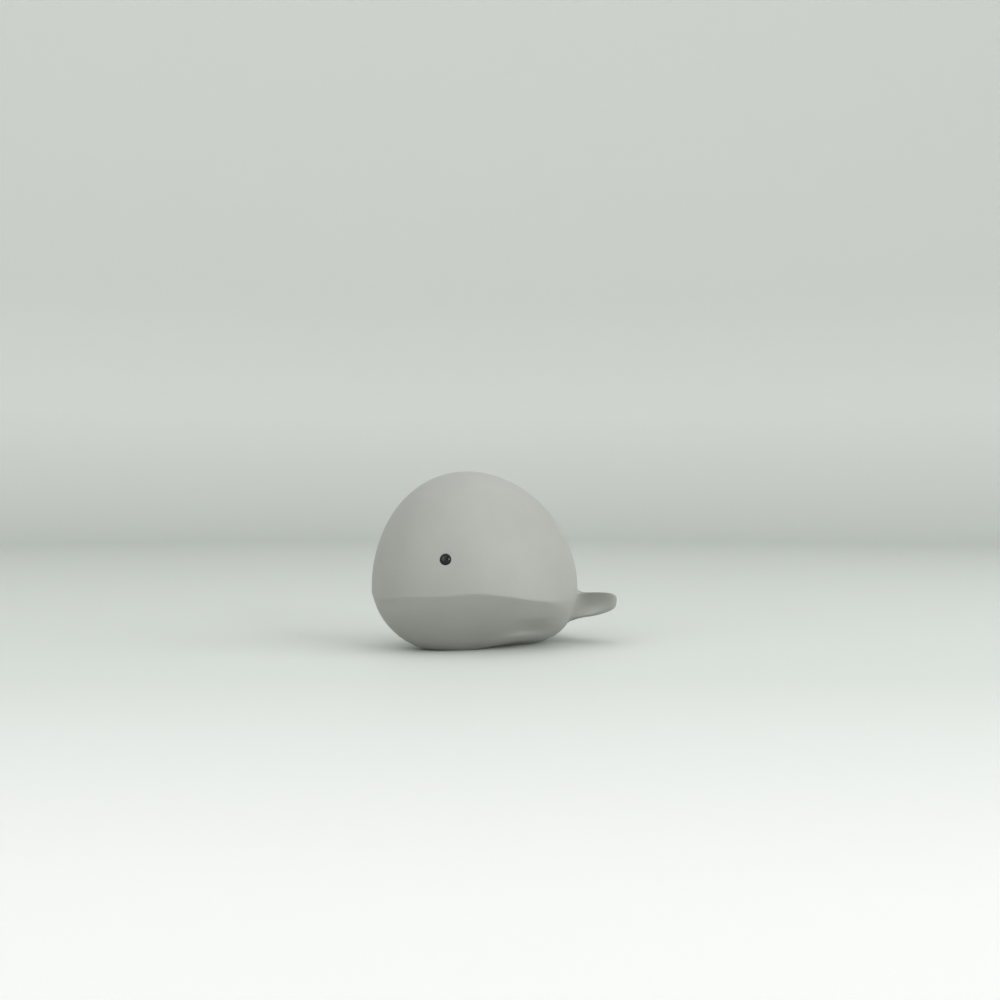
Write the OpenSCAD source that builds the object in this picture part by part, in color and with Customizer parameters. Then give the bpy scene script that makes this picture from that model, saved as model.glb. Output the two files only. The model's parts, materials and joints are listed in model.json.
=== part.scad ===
// Squeaky bath toy: a plump whale of soft rubber, nose toward -X, tail toward +X, all in millimetres.
// The dome with the tail and the belly meet along the jaw line, and a reed squeaker sits in the belly.

/* [Body] */
// Reach of the nose forward of the body's middle
nose_reach = 51.4; // [44:0.2:60]
// Reach of the back, behind the body's middle, above the tail
rear_reach = 55.2; // [48:0.2:62]
// Half of the body's width
half_width = 44; // [38:0.5:50]
// Height of the crown above the ground
body_h = 86; // [76:0.5:96]
// How far the crown sits forward of the body's middle
crown_forward = 3; // [2:0.2:6]
// Height above the jaw line where the front and the flanks are widest
wide_above = 0.8; // [0.6:0.1:2.5]
// Height where the back is widest
rear_wide_z = 28; // [24:0.5:30]
// Reach of the flat underside forward of the crown
foot_front = 21; // [21:0.5:25]
// Reach of the flat underside behind the crown
foot_rear = 22; // [20:0.5:28]
// Half of the flat underside's width
foot_side = 13.5; // [12.5:0.5:18]
// Wall of the dome
wall_t = 2.4; // [1.8:0.1:3]
// Fullness of the forehead's curve, where 2 is a plain ellipse
front_top_power = 2.1; // [1.9:0.05:2.3]
// Fullness of the upper back's curve
rear_top_power = 1.9; // [1.8:0.05:2.2]
// Fullness of the upper flanks' curve
side_top_power = 2; // [1.9:0.05:2.2]
// Fullness of the chin's curve
front_power = 1.65; // [1.5:0.05:2]
// Fullness of the lower back's curve
rear_power = 3.8; // [3:0.1:4.5]
// Fullness of the lower flanks' curve
side_power = 1.25; // [1.2:0.05:1.6]

/* [Jaw line] */
// Highest point of the jaw line, on the flank
jaw_h = 28.8; // [27:0.1:30]
// How far the belly is set in beneath the lip
jaw_step = 0.2; // [0.1:0.1:0.8]
// Height in which that step fades away below the lip
jaw_step_fade = 8; // [5:0.5:12]
// How far the lip's lower corner is rounded in
lip_inset = 0.2; // [0.1:0.1:0.8]
// Height of the lip's rounded corner
lip_rise = 0.6; // [0.3:0.1:1]
// Gap between the two shells along the jaw line
jaw_gap = 0.12; // [0.05:0.01:0.3]
// Height of the belly's tongue inside the dome
lap_h = 3; // [2:0.5:5]
// Thickness of that tongue
lap_t = 1.4; // [1:0.1:2]
// Gap between the tongue and the dome
lap_clear = 0.3; // [0.2:0.05:0.4]
// Extra thickness of the belly's wall down at its floor
floor_wall_extra = 1; // [0.5:0.1:2]

/* [Tail] */
// Length of the flukes behind the body
tail_reach = 20.7; // [18:0.1:24]
// Height of the top of the tail's root
tail_top_z = 26; // [25:0.5:28]
// Width of the blend under the tail's root
tail_flare = 1.3; // [0.5:0.1:1.6]
// Width of the blend on top of the tail's root
tail_top_flare = 0.2; // [0.1:0.1:1]
// Softness of the corner where the flukes leave the body
tail_ease = 0.8; // [0.5:0.1:2]
// How much the tips stand above the root
tail_lift = 0.5; // [0:0.1:3]
// How much further the outer edges of the flukes stand up
tail_curl = 2.5; // [0:0.1:3]
// How much the underside rises toward the tips
tail_under_lift = 0.5; // [0:0.1:2]
// Depth of the hollow along the top of the tail
tail_dish = 3; // [0:0.1:4]
// Half of the angle that the root takes round the body, in degrees
tail_half_deg = 35; // [30:1:38]
// How much the flukes widen toward their tips
tail_spread_share = 0.66; // [0.4:0.02:0.9]
// How much of that widening goes to the top edge rather than the bottom
tail_tilt_share = 0.15; // [0:0.01:0.3]
// How far the sides of the tail are drawn in between their edges
tail_waist_share = 0.3; // [0:0.01:0.35]
// How much longer the underside is than the top
under_reach_share = 0.25; // [0:0.01:0.3]
// Depth of the notch between the flukes
notch_depth_share = 0.6; // [0.2:0.05:0.8]
// Half width of that notch
notch_half_share = 0.75; // [0.5:0.05:0.9]
// Squareness of the flukes' edge
tail_edge_power = 4; // [2:0.1:4.5]
// Squareness of the flukes seen from above
tail_plan_power = 3.5; // [2:0.1:4]

/* [Belly] */
// Thickness of the belly's floor
floor_t = 4.6; // [4:0.1:6]
// Rise of the shallow arch under each flank
arch_h = 2.2; // [0:0.1:2.4]
// Place of the arch behind the body's middle
arch_back = 14; // [10:0.5:16]
// Half of the arch's length
arch_half_len = 30; // [24:0.5:32]
// Height above the ground where the arch fades away
arch_fade_h = 24; // [18:0.5:26]
// Half width of the middle of the underside, which stays flat
arch_flat_half = 7; // [6:0.5:11]
// Width beside that in which the arch rises
arch_rise_w = 6; // [5:0.5:12]
// Depth of the dimple on each lower flank
dimple_depth = 1.8; // [0:0.1:2]
// Height of the dimple
dimple_z = 10.5; // [9:0.5:14]
// Half height of the dimple
dimple_half_h = 5.5; // [5:0.5:8]
// Place of the dimple round the body from the nose, in degrees
dimple_deg = 99; // [80:1:110]
// Half of the dimple's angle, in degrees
dimple_half_deg = 20; // [16:1:30]
// Height of the low ridge beneath the dimple
ridge_h = 3; // [0:0.1:4]
// Height of the ridge above the ground
ridge_z = 2.6; // [2:0.1:6]
// Half of the ridge's width
ridge_half_h = 7; // [4:0.5:8]
// Half of the ridge's angle, in degrees
ridge_half_deg = 38; // [24:1:44]

/* [Eyes] */
// Place of each eye round the body from the nose, in degrees
eye_deg = 45.2; // [36:1:52]
// Height of the eyes
eye_z = 44.8; // [38:0.2:52]
// Radius of the eye bead
eye_r = 2.5; // [2:0.1:3]
// Depth of the socket that the bead sits in
socket_depth = 1; // [0.7:0.1:1.2]
// Gap between the bead and its socket
socket_clear = 0.15; // [0.05:0.05:0.3]
// Thickness of the bead's edge
bead_edge_t = 0.45; // [0.3:0.05:0.6]
// Rise of the bead's rounded front
bead_crown_h = 0.45; // [0.2:0.05:0.8]
// Radius of the bead's stem
stem_r = 1.4; // [1:0.1:1.6]
// Radius of the barb inside the wall
barb_r = 1.9; // [1.6:0.1:2.2]
// Length of the barb
barb_len = 1.8; // [1.2:0.1:2.5]
// Gap round the barb, which sits against a flat faced inside the wall
barb_clear = 0.3; // [0.2:0.05:0.5]

/* [Squeaker housing] */
// How far the squeaker sits forward of the body's middle
squeaker_forward = 12; // [10:0.5:12.5]
// How far the flange stays above the ground
flange_lift = 0.6; // [0.4:0.1:0.8]
// Radius of the flange beneath the belly
flange_r = 10.4; // [9.5:0.1:10.6]
// Thickness of the flange
flange_t = 1.4; // [1.2:0.1:1.6]
// Gap round the flange in the belly
flange_clear = 0.2; // [0.1:0.05:0.3]
// Radius of the neck through the belly's floor
neck_r = 8; // [7.5:0.1:8.4]
// Gap of the parts that are pushed together
fit_clear = 0.05; // [0.03:0.01:0.08]
// Outer radius of the retaining collar
collar_r = 11.5; // [10.5:0.1:12]
// Thickness of the retaining collar
collar_t = 1.5; // [1:0.1:2]
// How far the neck's snap lip stands out above the collar
snap_out = 0.35; // [0.2:0.05:0.5]
// Height of the snap lip
snap_h = 0.6; // [0.4:0.1:0.8]
// Radius of the spigot that holds the whistle tube
spigot_r = 5.2; // [4.8:0.1:6]
// Height of the spigot above the snap lip
spigot_h = 3.2; // [2.5:0.1:4]

/* [Squeaker guard] */
// Radius of the pierced guard disc
guard_r = 6.35; // [6:0.05:6.8]
// Thickness of the guard disc
guard_t = 1; // [0.8:0.05:1.1]
// Gap round the guard disc
guard_clear = 0.1; // [0.05:0.05:0.15]
// Radius of each air hole
air_hole_r = 0.9; // [0.6:0.1:1.1]
// Radius of the circle that the air holes lie on
air_ring_r = 3.6; // [3:0.1:4.2]
// Number of air holes
air_holes = 6; // [4:1:7]

/* [Whistle tube and reed] */
// Outer radius of the whistle tube
tube_r = 3.25; // [3.1:0.05:3.5]
// Wall of the whistle tube
tube_wall = 0.75; // [0.6:0.05:0.85]
// Length of the whistle tube above its collar
tube_len = 15.8; // [15.4:0.2:18]
// How far the tube's collar stands out
tube_collar_out = 0.65; // [0.4:0.05:0.8]
// Thickness of the tube's collar
tube_collar_t = 1; // [0.8:0.1:1.2]
// How far the reed's carrier starts inside the tube
carrier_inset = 0.2; // [0.1:0.05:0.4]
// Length of the reed's carrier
carrier_len = 14.8; // [14.6:0.1:15]
// Width of the air channel under the reed
channel_w = 2.2; // [1.8:0.1:2.4]
// Depth of the air channel
channel_d = 1.4; // [1:0.1:1.6]
// Wall at the closed end of the channel
channel_end_t = 2.6; // [2:0.1:3]
// Width of the reed
reed_w = 3; // [2.7:0.1:3.2]
// Length of the reed
reed_len = 13; // [12.6:0.1:13.4]
// Thickness of the reed
reed_t = 0.12; // [0.08:0.01:0.16]
// Gap on each side of the clamped reed
reed_clear = 0.02; // [0.01:0.01:0.04]
// Angle at which the free reed stands off its carrier, in degrees
reed_open_deg = 2.5; // [1.5:0.1:3]
// Length of the wedge that clamps the reed
wedge_len = 4.6; // [4:0.1:5]

/* [Hidden] */
$fn = 48;

rubber = [0.70, 0.71, 0.68];
eye_black = [0.03, 0.03, 0.03];
white_plastic = [0.93, 0.93, 0.90];

// Height of the jaw line from the nose round to the tail, as shares of its highest point
jaw_shares = [0.865, 0.92, 0.95, 0.96, 1, 0.95, 0.87, 0.80, 0.70, 0.45, 0.335, 0.325, 0.325];
// How far round the body from the nose the widest level starts and stops leaving the jaw line, in degrees
wide_turn_deg = 90;
wide_turned_deg = 145;
// How far round the body from the nose the room for the tail starts to open, in degrees
tail_room_deg = 105;
// Angle further round in which the step under the lip fades away
step_fade_deg = 30;
// Height above the jaw line of the band that the tail's rows share with the front
front_band_h = 8;
// How quickly the blend at the tail's root dies away along the flukes
flare_decay = 1.5;

// Where the belly's rings lie between the squeaker's axis and the foot's outline
foot_ring_shares = [0.9, 0.75, 0.62, 0.5, 0.38, 0.2];
// Where the floor's rings lie between the squeaker's axis and the inner wall
floor_ring_shares = [0.35, 0.7];

// Numbers of columns round the body and of rows on each surface
front_columns = 46;
tail_columns = 18;
crown_rows = 14;
tail_rows = 10;
inner_rows = 10;
belly_rows = 10;
belly_inner_rows = 4;

// One overrun for every cut, and the step that measures the slope of the body
overrun = 0.5;
slope_deg = 0.5;
slope_z = 0.25;

function bump(t) = pow(max(0, 1 - t * t), 2);
function smooth(t) = let (s = min(1, max(0, t))) s * s * (3 - 2 * s);
function fold(deg) = deg > 180 ? 360 - deg : abs(deg);

// A smooth curve through a list of values, with t from 0 to 1
function curve(list, t) =
    let (
        last = len(list) - 1,
        s = min(t * last, last - 0.0001),
        i = floor(s),
        f = s - i,
        a = list[abs(i - 1)],
        b = list[i],
        c = list[i + 1],
        d = list[i + 2 > last ? last - 1 : i + 2]
    )
    (2 * b + (c - a) * f + (2 * a - 5 * b + 4 * c - d) * f * f + (3 * b - a - 3 * c + d) * f * f * f) / 2;

// Quarter of a rounded curve, with t from 0 at its widest to 1 at its end
function quarter(t, power) = pow(max(0, 1 - pow(t, power)), 1 / power);

// Reach of one side of the body at height z: one curve up to the crown and another down to the foot
function side_reach(z, wide, reach, foot, top_power, power, top) =
    z >= wide
        ? reach * quarter((z - wide) / (top - wide), top_power)
        : foot + (reach - foot) * quarter((wide - z) / wide, power);

function jaw_z(deg) = jaw_h * curve(jaw_shares, fold(deg) / 180);

// Height where the body is widest: just above the jaw line in front and on the flanks, level at the back
function wide_z(deg) =
    let (g = smooth((fold(deg) - wide_turn_deg) / (wide_turned_deg - wide_turn_deg)))
    (1 - g) * (jaw_z(deg) + wide_above) + g * rear_wide_z;

// Point of the body at an angle from the nose and a height, set in from the outer skin
function body_point(deg, z, inset = 0) =
    let (
        top = body_h - inset,
        wide = wide_z(deg),
        front = side_reach(z, wide, nose_reach - crown_forward - inset, foot_front - inset,
            front_top_power, front_power, top),
        rear = side_reach(z, wide, rear_reach + crown_forward - inset, foot_rear - inset,
            rear_top_power, rear_power, top),
        side = side_reach(z, wide, half_width - inset, foot_side - inset, side_top_power, side_power, top)
    )
    [(rear - front) / 2 - crown_forward - (rear + front) / 2 * cos(deg), -side * sin(deg), z];

// Angles of the columns, closer together where the tail leaves the body
columns = concat(
    [for (i = [0 : front_columns - 1])
        (180 - tail_half_deg) * (2 * i / front_columns - 1)],
    [for (i = [0 : tail_columns - 1])
        180 + tail_half_deg * sin(180 * i / tail_columns - 90)]
);

// Place of a column across the tail, from -1 to 1
function across(deg) = max(-1, (deg - 180) / tail_half_deg);

// Length of the flukes at a column, with c from 1 at the top to -1 below: two rounded lobes and a notch
function fluke_length(deg, c) =
    let (p = across(deg))
    tail_reach * (1 + under_reach_share * (1 - c) / 2)
        * pow(1 - pow(abs(p), tail_plan_power), 1 / tail_plan_power)
        * (1 - notch_depth_share * bump(p / notch_half_share));

// Upper edge of the rows that make the tail, which sink to the jaw line toward the front
function tail_band_top(deg) =
    let (
        g = smooth((fold(deg) - tail_room_deg) / (180 - tail_half_deg - tail_room_deg)),
        dish = tail_dish * (1 - pow(across(deg), 2))
    )
    (1 - g) * (jaw_z(deg) + front_band_h) + g * (tail_top_z + tail_top_flare - dish);

// Point of the dome between the lip and the tail's upper edge, drawn out into the flukes at the back.
// As the flukes grow out they widen, their sides are drawn in between root and tip, and they rise.
function tail_point(deg, row) =
    let (
        turn = 180 * row / tail_rows,
        c = sign(cos(turn)) * pow(abs(cos(turn)), 2 / tail_edge_power),
        top = tail_band_top(deg),
        bottom = jaw_z(deg) + 2 * lip_rise,
        z = (top + bottom) / 2 + c * (top - bottom) / 2,
        skin = body_point(deg, z),
        run = fluke_length(deg, c) * pow(sin(turn), 2 / tail_edge_power),
        out = sqrt(run * run + tail_ease * tail_ease) - tail_ease,
        grown = out / tail_reach,
        flare = c > 0 ? tail_top_flare : tail_flare,
        waist = tail_waist_share * (4 * c * c - 2) * grown * (1 - min(1, grown)),
        rise = tail_lift + tail_curl * pow(across(deg), 2) + tail_under_lift * (1 - c) / 2
    )
    [
        skin[0] + out,
        skin[1] * (1 + tail_spread_share * (1 + tail_tilt_share * c) * grown + waist),
        z - c * flare * (1 - exp(-flare_decay * out / flare)) + rise * grown
    ];

dome_outer_rows = concat(
    [for (k = [crown_rows - 1 : -1 : 1])
        [for (a = columns)
            body_point(a, tail_band_top(a) + (body_h - tail_band_top(a)) * sin(90 * k / crown_rows))]],
    [for (row = [0 : tail_rows]) [for (a = columns) tail_point(a, row)]],
    [[for (a = columns) body_point(a, jaw_z(a) + lip_rise)]],
    [[for (a = columns) body_point(a, jaw_z(a), lip_inset)]]
);

// Height of the dome's inner wall where the belly's tongue ends
function lap_top(deg) = jaw_z(deg) + lap_h;

dome_inner_rows = concat(
    [[for (a = columns) body_point(a, jaw_z(a), wall_t)]],
    [for (k = [0 : inner_rows - 1])
        [for (a = columns)
            body_point(a, lap_top(a) + (body_h - wall_t - lap_top(a)) * sin(90 * k / inner_rows), wall_t)]]
);

tail_end = max([for (row = dome_outer_rows) for (p = row) p[0]]);
nose_end = min([for (row = dome_outer_rows) for (p = row) p[0]]);
middle_x = (tail_end + nose_end) / 2;

// How far the belly's outer skin is set in: the step under the lip and the flank's dimple, less its ridge
function belly_inset(deg, z) =
    jaw_step * (1 - smooth((jaw_z(deg) - z) / jaw_step_fade))
        * (1 - smooth((fold(deg) - tail_room_deg) / step_fade_deg))
    + dimple_depth * bump((fold(deg) - dimple_deg) / dimple_half_deg) * bump((z - dimple_z) / dimple_half_h)
    - ridge_h * bump((fold(deg) - dimple_deg) / ridge_half_deg) * bump((z - ridge_z) / ridge_half_h);

// The shallow arch under each flank, which lifts points near the ground
function arched(p) =
    [p[0], p[1], p[2] + arch_h * bump((p[0] - arch_back) / arch_half_len)
        * smooth((abs(p[1]) - arch_flat_half) / arch_rise_w) * pow(max(0, 1 - p[2] / arch_fade_h), 2)];

function belly_point(deg, z) = arched(body_point(deg, z, belly_inset(deg, z)));

function toward(centre, p, share) = centre + (p - centre) * share;

tongue_in = wall_t + lap_clear;
belly_in = tongue_in + lap_t;
squeaker_axis = [-squeaker_forward, 0, 0];
floor_centre = squeaker_axis + [0, 0, floor_t];

belly_inner_wall = [for (k = [0 : belly_inner_rows])
    let (up = k / belly_inner_rows)
    [for (a = columns)
        body_point(a, floor_t + (lap_top(a) - floor_t) * up, belly_in + floor_wall_extra * (1 - up))]];
belly_rings = concat(
    [for (share = floor_ring_shares) [for (p = belly_inner_wall[0]) toward(floor_centre, p, share)]],
    belly_inner_wall,
    [[for (a = columns) body_point(a, lap_top(a), tongue_in)]],
    [[for (a = columns) body_point(a, jaw_z(a) - jaw_gap, tongue_in)]],
    [for (k = [belly_rows : -1 : 0])
        [for (a = columns) belly_point(a, (jaw_z(a) - jaw_gap) * (1 - cos(90 * k / belly_rows)))]],
    [for (share = foot_ring_shares)
        [for (a = columns) arched(toward(squeaker_axis, body_point(a, 0), share))]]
);

// Closed skin through rows of points from an upper pole, out and round, to a lower pole
module closed_skin(start, rows, end) {
    n = len(rows[0]);
    count = len(rows);
    last = 1 + n * count;
    points = concat([start], [for (row = rows) for (p = row) p], [end]);
    faces = concat(
        [for (i = [0 : n - 1]) [0, 1 + (i + 1) % n, 1 + i]],
        [for (r = [0 : count - 2]) for (i = [0 : n - 1])
            [1 + r * n + i, 1 + r * n + (i + 1) % n, 1 + (r + 1) * n + (i + 1) % n]],
        [for (r = [0 : count - 2]) for (i = [0 : n - 1])
            [1 + r * n + i, 1 + (r + 1) * n + (i + 1) % n, 1 + (r + 1) * n + i]],
        [for (i = [0 : n - 1]) [last - n + i, last - n + (i + 1) % n, last]]
    );
    polyhedron(points = points, faces = faces);
}

// Moves a drawing from the body's middle to the part's origin, under the middle of its whole length
module on_origin() {
    translate([-middle_x, 0, 0]) children();
}

// Puts a drawing on the skin at an eye, with its Z axis pointing straight out
module at_eye(side) {
    deg = side * eye_deg;
    place = body_point(deg, eye_z);
    along = side * (body_point(deg + slope_deg, eye_z) - body_point(deg - slope_deg, eye_z));
    up = body_point(deg, eye_z + slope_z) - body_point(deg, eye_z - slope_z);
    out = side * cross(along, up);
    translate(place)
        rotate([0, acos(out[2] / norm(out)), atan2(out[1], out[0])])
            children();
}

module tube(outer_r, inner_r, h) {
    difference() {
        cylinder(r = outer_r, h = h);
        translate([0, 0, -overrun]) cylinder(r = inner_r, h = h + 2 * overrun);
    }
}

bead_seat = socket_depth - fit_clear;
stem_len = wall_t - bead_seat + fit_clear;

module upper_shell() {
    color(rubber) on_origin() difference() {
        closed_skin(
            [-crown_forward, 0, body_h],
            concat(dome_outer_rows, dome_inner_rows),
            [-crown_forward, 0, body_h - wall_t]
        );
        for (side = [-1, 1]) at_eye(side) {
            translate([0, 0, -socket_depth])
                cylinder(r = eye_r + socket_clear, h = socket_depth + overrun);
            translate([0, 0, -wall_t - barb_len])
                cylinder(r = stem_r + fit_clear, h = wall_t + barb_len);
            translate([0, 0, -wall_t - barb_len])
                cylinder(r = barb_r + barb_clear, h = barb_len);
        }
    }
}

module belly_shell() {
    seat_h = flange_lift + flange_t;
    color(rubber) on_origin() difference() {
        closed_skin(floor_centre, belly_rings, squeaker_axis);
        translate(squeaker_axis) {
            translate([0, 0, -overrun]) cylinder(r = neck_r + fit_clear, h = floor_t + 2 * overrun);
            translate([0, 0, -overrun]) cylinder(r = flange_r + flange_clear, h = seat_h + overrun);
        }
    }
}

// Black bead with a rounded front, a stem through the wall and a barb behind it
module eye(side) {
    ball_r = (eye_r * eye_r + bead_crown_h * bead_crown_h) / (2 * bead_crown_h);
    color(eye_black) on_origin() at_eye(side) translate([0, 0, -bead_seat]) {
        cylinder(r = eye_r, h = bead_edge_t);
        intersection() {
            translate([0, 0, bead_edge_t + bead_crown_h - ball_r]) sphere(r = ball_r);
            cylinder(r = eye_r, h = bead_edge_t + bead_crown_h);
        }
        translate([0, 0, -stem_len]) cylinder(r = stem_r, h = stem_len);
        translate([0, 0, -stem_len - barb_len]) cylinder(r1 = stem_r, r2 = barb_r, h = barb_len);
    }
}

module left_eye() { eye(1); }

module right_eye() { eye(-1); }

flange_top = flange_lift + flange_t;
collar_z = floor_t + fit_clear;
neck_top = collar_z + collar_t + fit_clear;
spigot_top = neck_top + snap_h + spigot_h;
tube_collar_z = flange_top + 2 * guard_clear;
tube_z = tube_collar_z + tube_collar_t;
tube_in_r = tube_r - tube_wall;
tube_collar_r = tube_r + tube_collar_out;

module squeaker_housing() {
    color(white_plastic) on_origin() translate(squeaker_axis) difference() {
        union() {
            translate([0, 0, flange_lift]) cylinder(r = flange_r, h = flange_t);
            translate([0, 0, flange_top]) cylinder(r = neck_r, h = neck_top - flange_top);
            translate([0, 0, neck_top]) cylinder(r = neck_r + snap_out, h = snap_h);
            translate([0, 0, neck_top + snap_h]) cylinder(r = spigot_r, h = spigot_h);
        }
        cylinder(r = guard_r + guard_clear, h = flange_top);
        cylinder(r = tube_collar_r + fit_clear, h = tube_z + fit_clear);
        cylinder(r = tube_r + fit_clear, h = spigot_top + overrun);
    }
}

module squeaker_guard() {
    color(white_plastic) on_origin() translate(squeaker_axis)
        translate([0, 0, flange_top - fit_clear - guard_t]) difference() {
            cylinder(r = guard_r, h = guard_t);
            for (i = [0 : air_holes - 1])
                rotate([0, 0, 360 * i / air_holes])
                    translate([air_ring_r, 0, -overrun]) cylinder(r = air_hole_r, h = guard_t + 2 * overrun);
        }
}

module retaining_collar() {
    color(white_plastic) on_origin() translate(squeaker_axis)
        translate([0, 0, collar_z]) tube(collar_r, neck_r + fit_clear, collar_t);
}

module whistle_tube() {
    color(white_plastic) on_origin() translate(squeaker_axis) {
        translate([0, 0, tube_collar_z]) tube(tube_collar_r, tube_in_r, tube_collar_t);
        translate([0, 0, tube_z]) tube(tube_r, tube_in_r, tube_len);
    }
}

insert_r = tube_in_r - fit_clear;
insert_z = tube_z + carrier_inset;
clamp_z = insert_z + wedge_len;
flat_y = reed_t / 2 + reed_clear;

// Half-round insert that fills one side of the whistle tube up to the reed
module half_round(side, h) {
    intersection() {
        cylinder(r = insert_r, h = h);
        translate([-insert_r, side > 0 ? flat_y : -flat_y - insert_r, 0])
            cube([2 * insert_r, insert_r, h]);
    }
}

module reed_carrier() {
    color(white_plastic) on_origin() translate(squeaker_axis + [0, 0, insert_z]) difference() {
        half_round(-1, carrier_len);
        translate([-channel_w / 2, -flat_y - channel_d, -overrun])
            cube([channel_w, channel_d + overrun, carrier_len - channel_end_t + overrun]);
    }
}

// Springy strip: clamped straight at its foot, then standing off the channel at a small angle
module reed() {
    free_len = reed_len - wedge_len;
    color("gold") on_origin() translate(squeaker_axis) {
        translate([-reed_w / 2, -reed_t / 2, insert_z]) cube([reed_w, reed_t, wedge_len]);
        translate([0, 0, clamp_z]) rotate([-reed_open_deg, 0, 0])
            translate([-reed_w / 2, -reed_t / 2, -reed_t / 2]) cube([reed_w, reed_t, free_len + reed_t / 2]);
    }
}

module reed_wedge() {
    color(white_plastic) on_origin() translate(squeaker_axis + [0, 0, insert_z])
        half_round(1, wedge_len - carrier_inset);
}

upper_shell();
belly_shell();
left_eye();
right_eye();
squeaker_housing();
squeaker_guard();
retaining_collar();
whistle_tube();
reed_carrier();
reed();
reed_wedge();
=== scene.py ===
"""Dressed model of a plump whale bath toy with a squeaker, laid over its packed construction.

Sizes are in millimetres until a mesh is made, and x runs from the nose (-x) to the tail (+x).
"""

import json
import logging
import math
from dataclasses import dataclass, field
from enum import Enum

import bpy
import numpy as np
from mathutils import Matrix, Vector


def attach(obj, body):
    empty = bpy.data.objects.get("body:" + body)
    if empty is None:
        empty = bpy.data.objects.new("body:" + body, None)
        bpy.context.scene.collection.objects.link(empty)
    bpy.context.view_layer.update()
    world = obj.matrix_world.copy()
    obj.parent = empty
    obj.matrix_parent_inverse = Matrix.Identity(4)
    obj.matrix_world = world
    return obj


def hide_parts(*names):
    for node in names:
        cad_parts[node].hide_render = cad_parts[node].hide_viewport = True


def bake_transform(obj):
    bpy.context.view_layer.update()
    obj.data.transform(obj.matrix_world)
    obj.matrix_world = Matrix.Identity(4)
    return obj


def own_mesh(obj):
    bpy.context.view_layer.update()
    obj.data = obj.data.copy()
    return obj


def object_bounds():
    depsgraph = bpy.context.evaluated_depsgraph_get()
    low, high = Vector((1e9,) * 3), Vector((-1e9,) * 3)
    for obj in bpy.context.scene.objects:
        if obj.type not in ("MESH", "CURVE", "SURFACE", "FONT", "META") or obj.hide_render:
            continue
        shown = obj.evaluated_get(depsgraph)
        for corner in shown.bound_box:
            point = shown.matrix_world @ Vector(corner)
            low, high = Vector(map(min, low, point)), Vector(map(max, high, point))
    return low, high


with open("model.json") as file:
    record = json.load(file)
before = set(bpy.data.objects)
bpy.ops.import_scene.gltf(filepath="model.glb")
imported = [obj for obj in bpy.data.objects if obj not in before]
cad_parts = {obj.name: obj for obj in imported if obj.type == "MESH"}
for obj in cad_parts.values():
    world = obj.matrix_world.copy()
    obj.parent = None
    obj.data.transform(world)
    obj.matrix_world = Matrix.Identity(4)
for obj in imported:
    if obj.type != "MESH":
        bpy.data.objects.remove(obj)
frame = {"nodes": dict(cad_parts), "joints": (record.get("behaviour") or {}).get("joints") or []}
CAD_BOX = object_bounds()

log = logging.getLogger("bath_toy")

MM = 0.001
METRE = 1000.0
SHARP_ANGLE = math.radians(50)


class Side(Enum):
    """The two flanks, by the sign of their angle from the nose."""

    LEFT = 1
    RIGHT = -1


def bump(t: np.ndarray) -> np.ndarray:
    """Smooth hump: (1 - t squared) squared between -1 and 1, and 0 outside."""
    return np.maximum(1 - np.square(t), 0) ** 2


def smooth(t: np.ndarray) -> np.ndarray:
    """Smooth rise from 0 to 1: t squared times (3 - 2 t), held at its ends."""
    s = np.clip(t, 0, 1)
    return s * s * (3 - 2 * s)


def fold(angle: np.ndarray) -> np.ndarray:
    """Angle from the nose on either flank, from 0 to 180 degrees."""
    return np.abs((angle + 180) % 360 - 180)


def curve_through(values: tuple[float, ...], t: np.ndarray) -> np.ndarray:
    """Smooth curve through evenly spaced values, level at both ends.

    Each span is the cubic whose slope at a value is half the step between its neighbours.

    Args:
        values: the heights that the curve passes through.
        t: places along the curve, from 0 to 1.

    Returns:
        The curve's height at each place.
    """
    v = np.array([values[1], *values, values[-2]])
    spans = len(values) - 1
    s = np.clip(np.asarray(t, float) * spans, 0, spans - 1e-6)
    i = s.astype(int)
    f = s - i
    a, b, c, d = v[i], v[i + 1], v[i + 2], v[i + 3]
    return 0.5 * (2 * b + (c - a) * f + (2 * a - 5 * b + 4 * c - d) * f**2 + (3 * b - a - 3 * c + d) * f**3)


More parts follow.
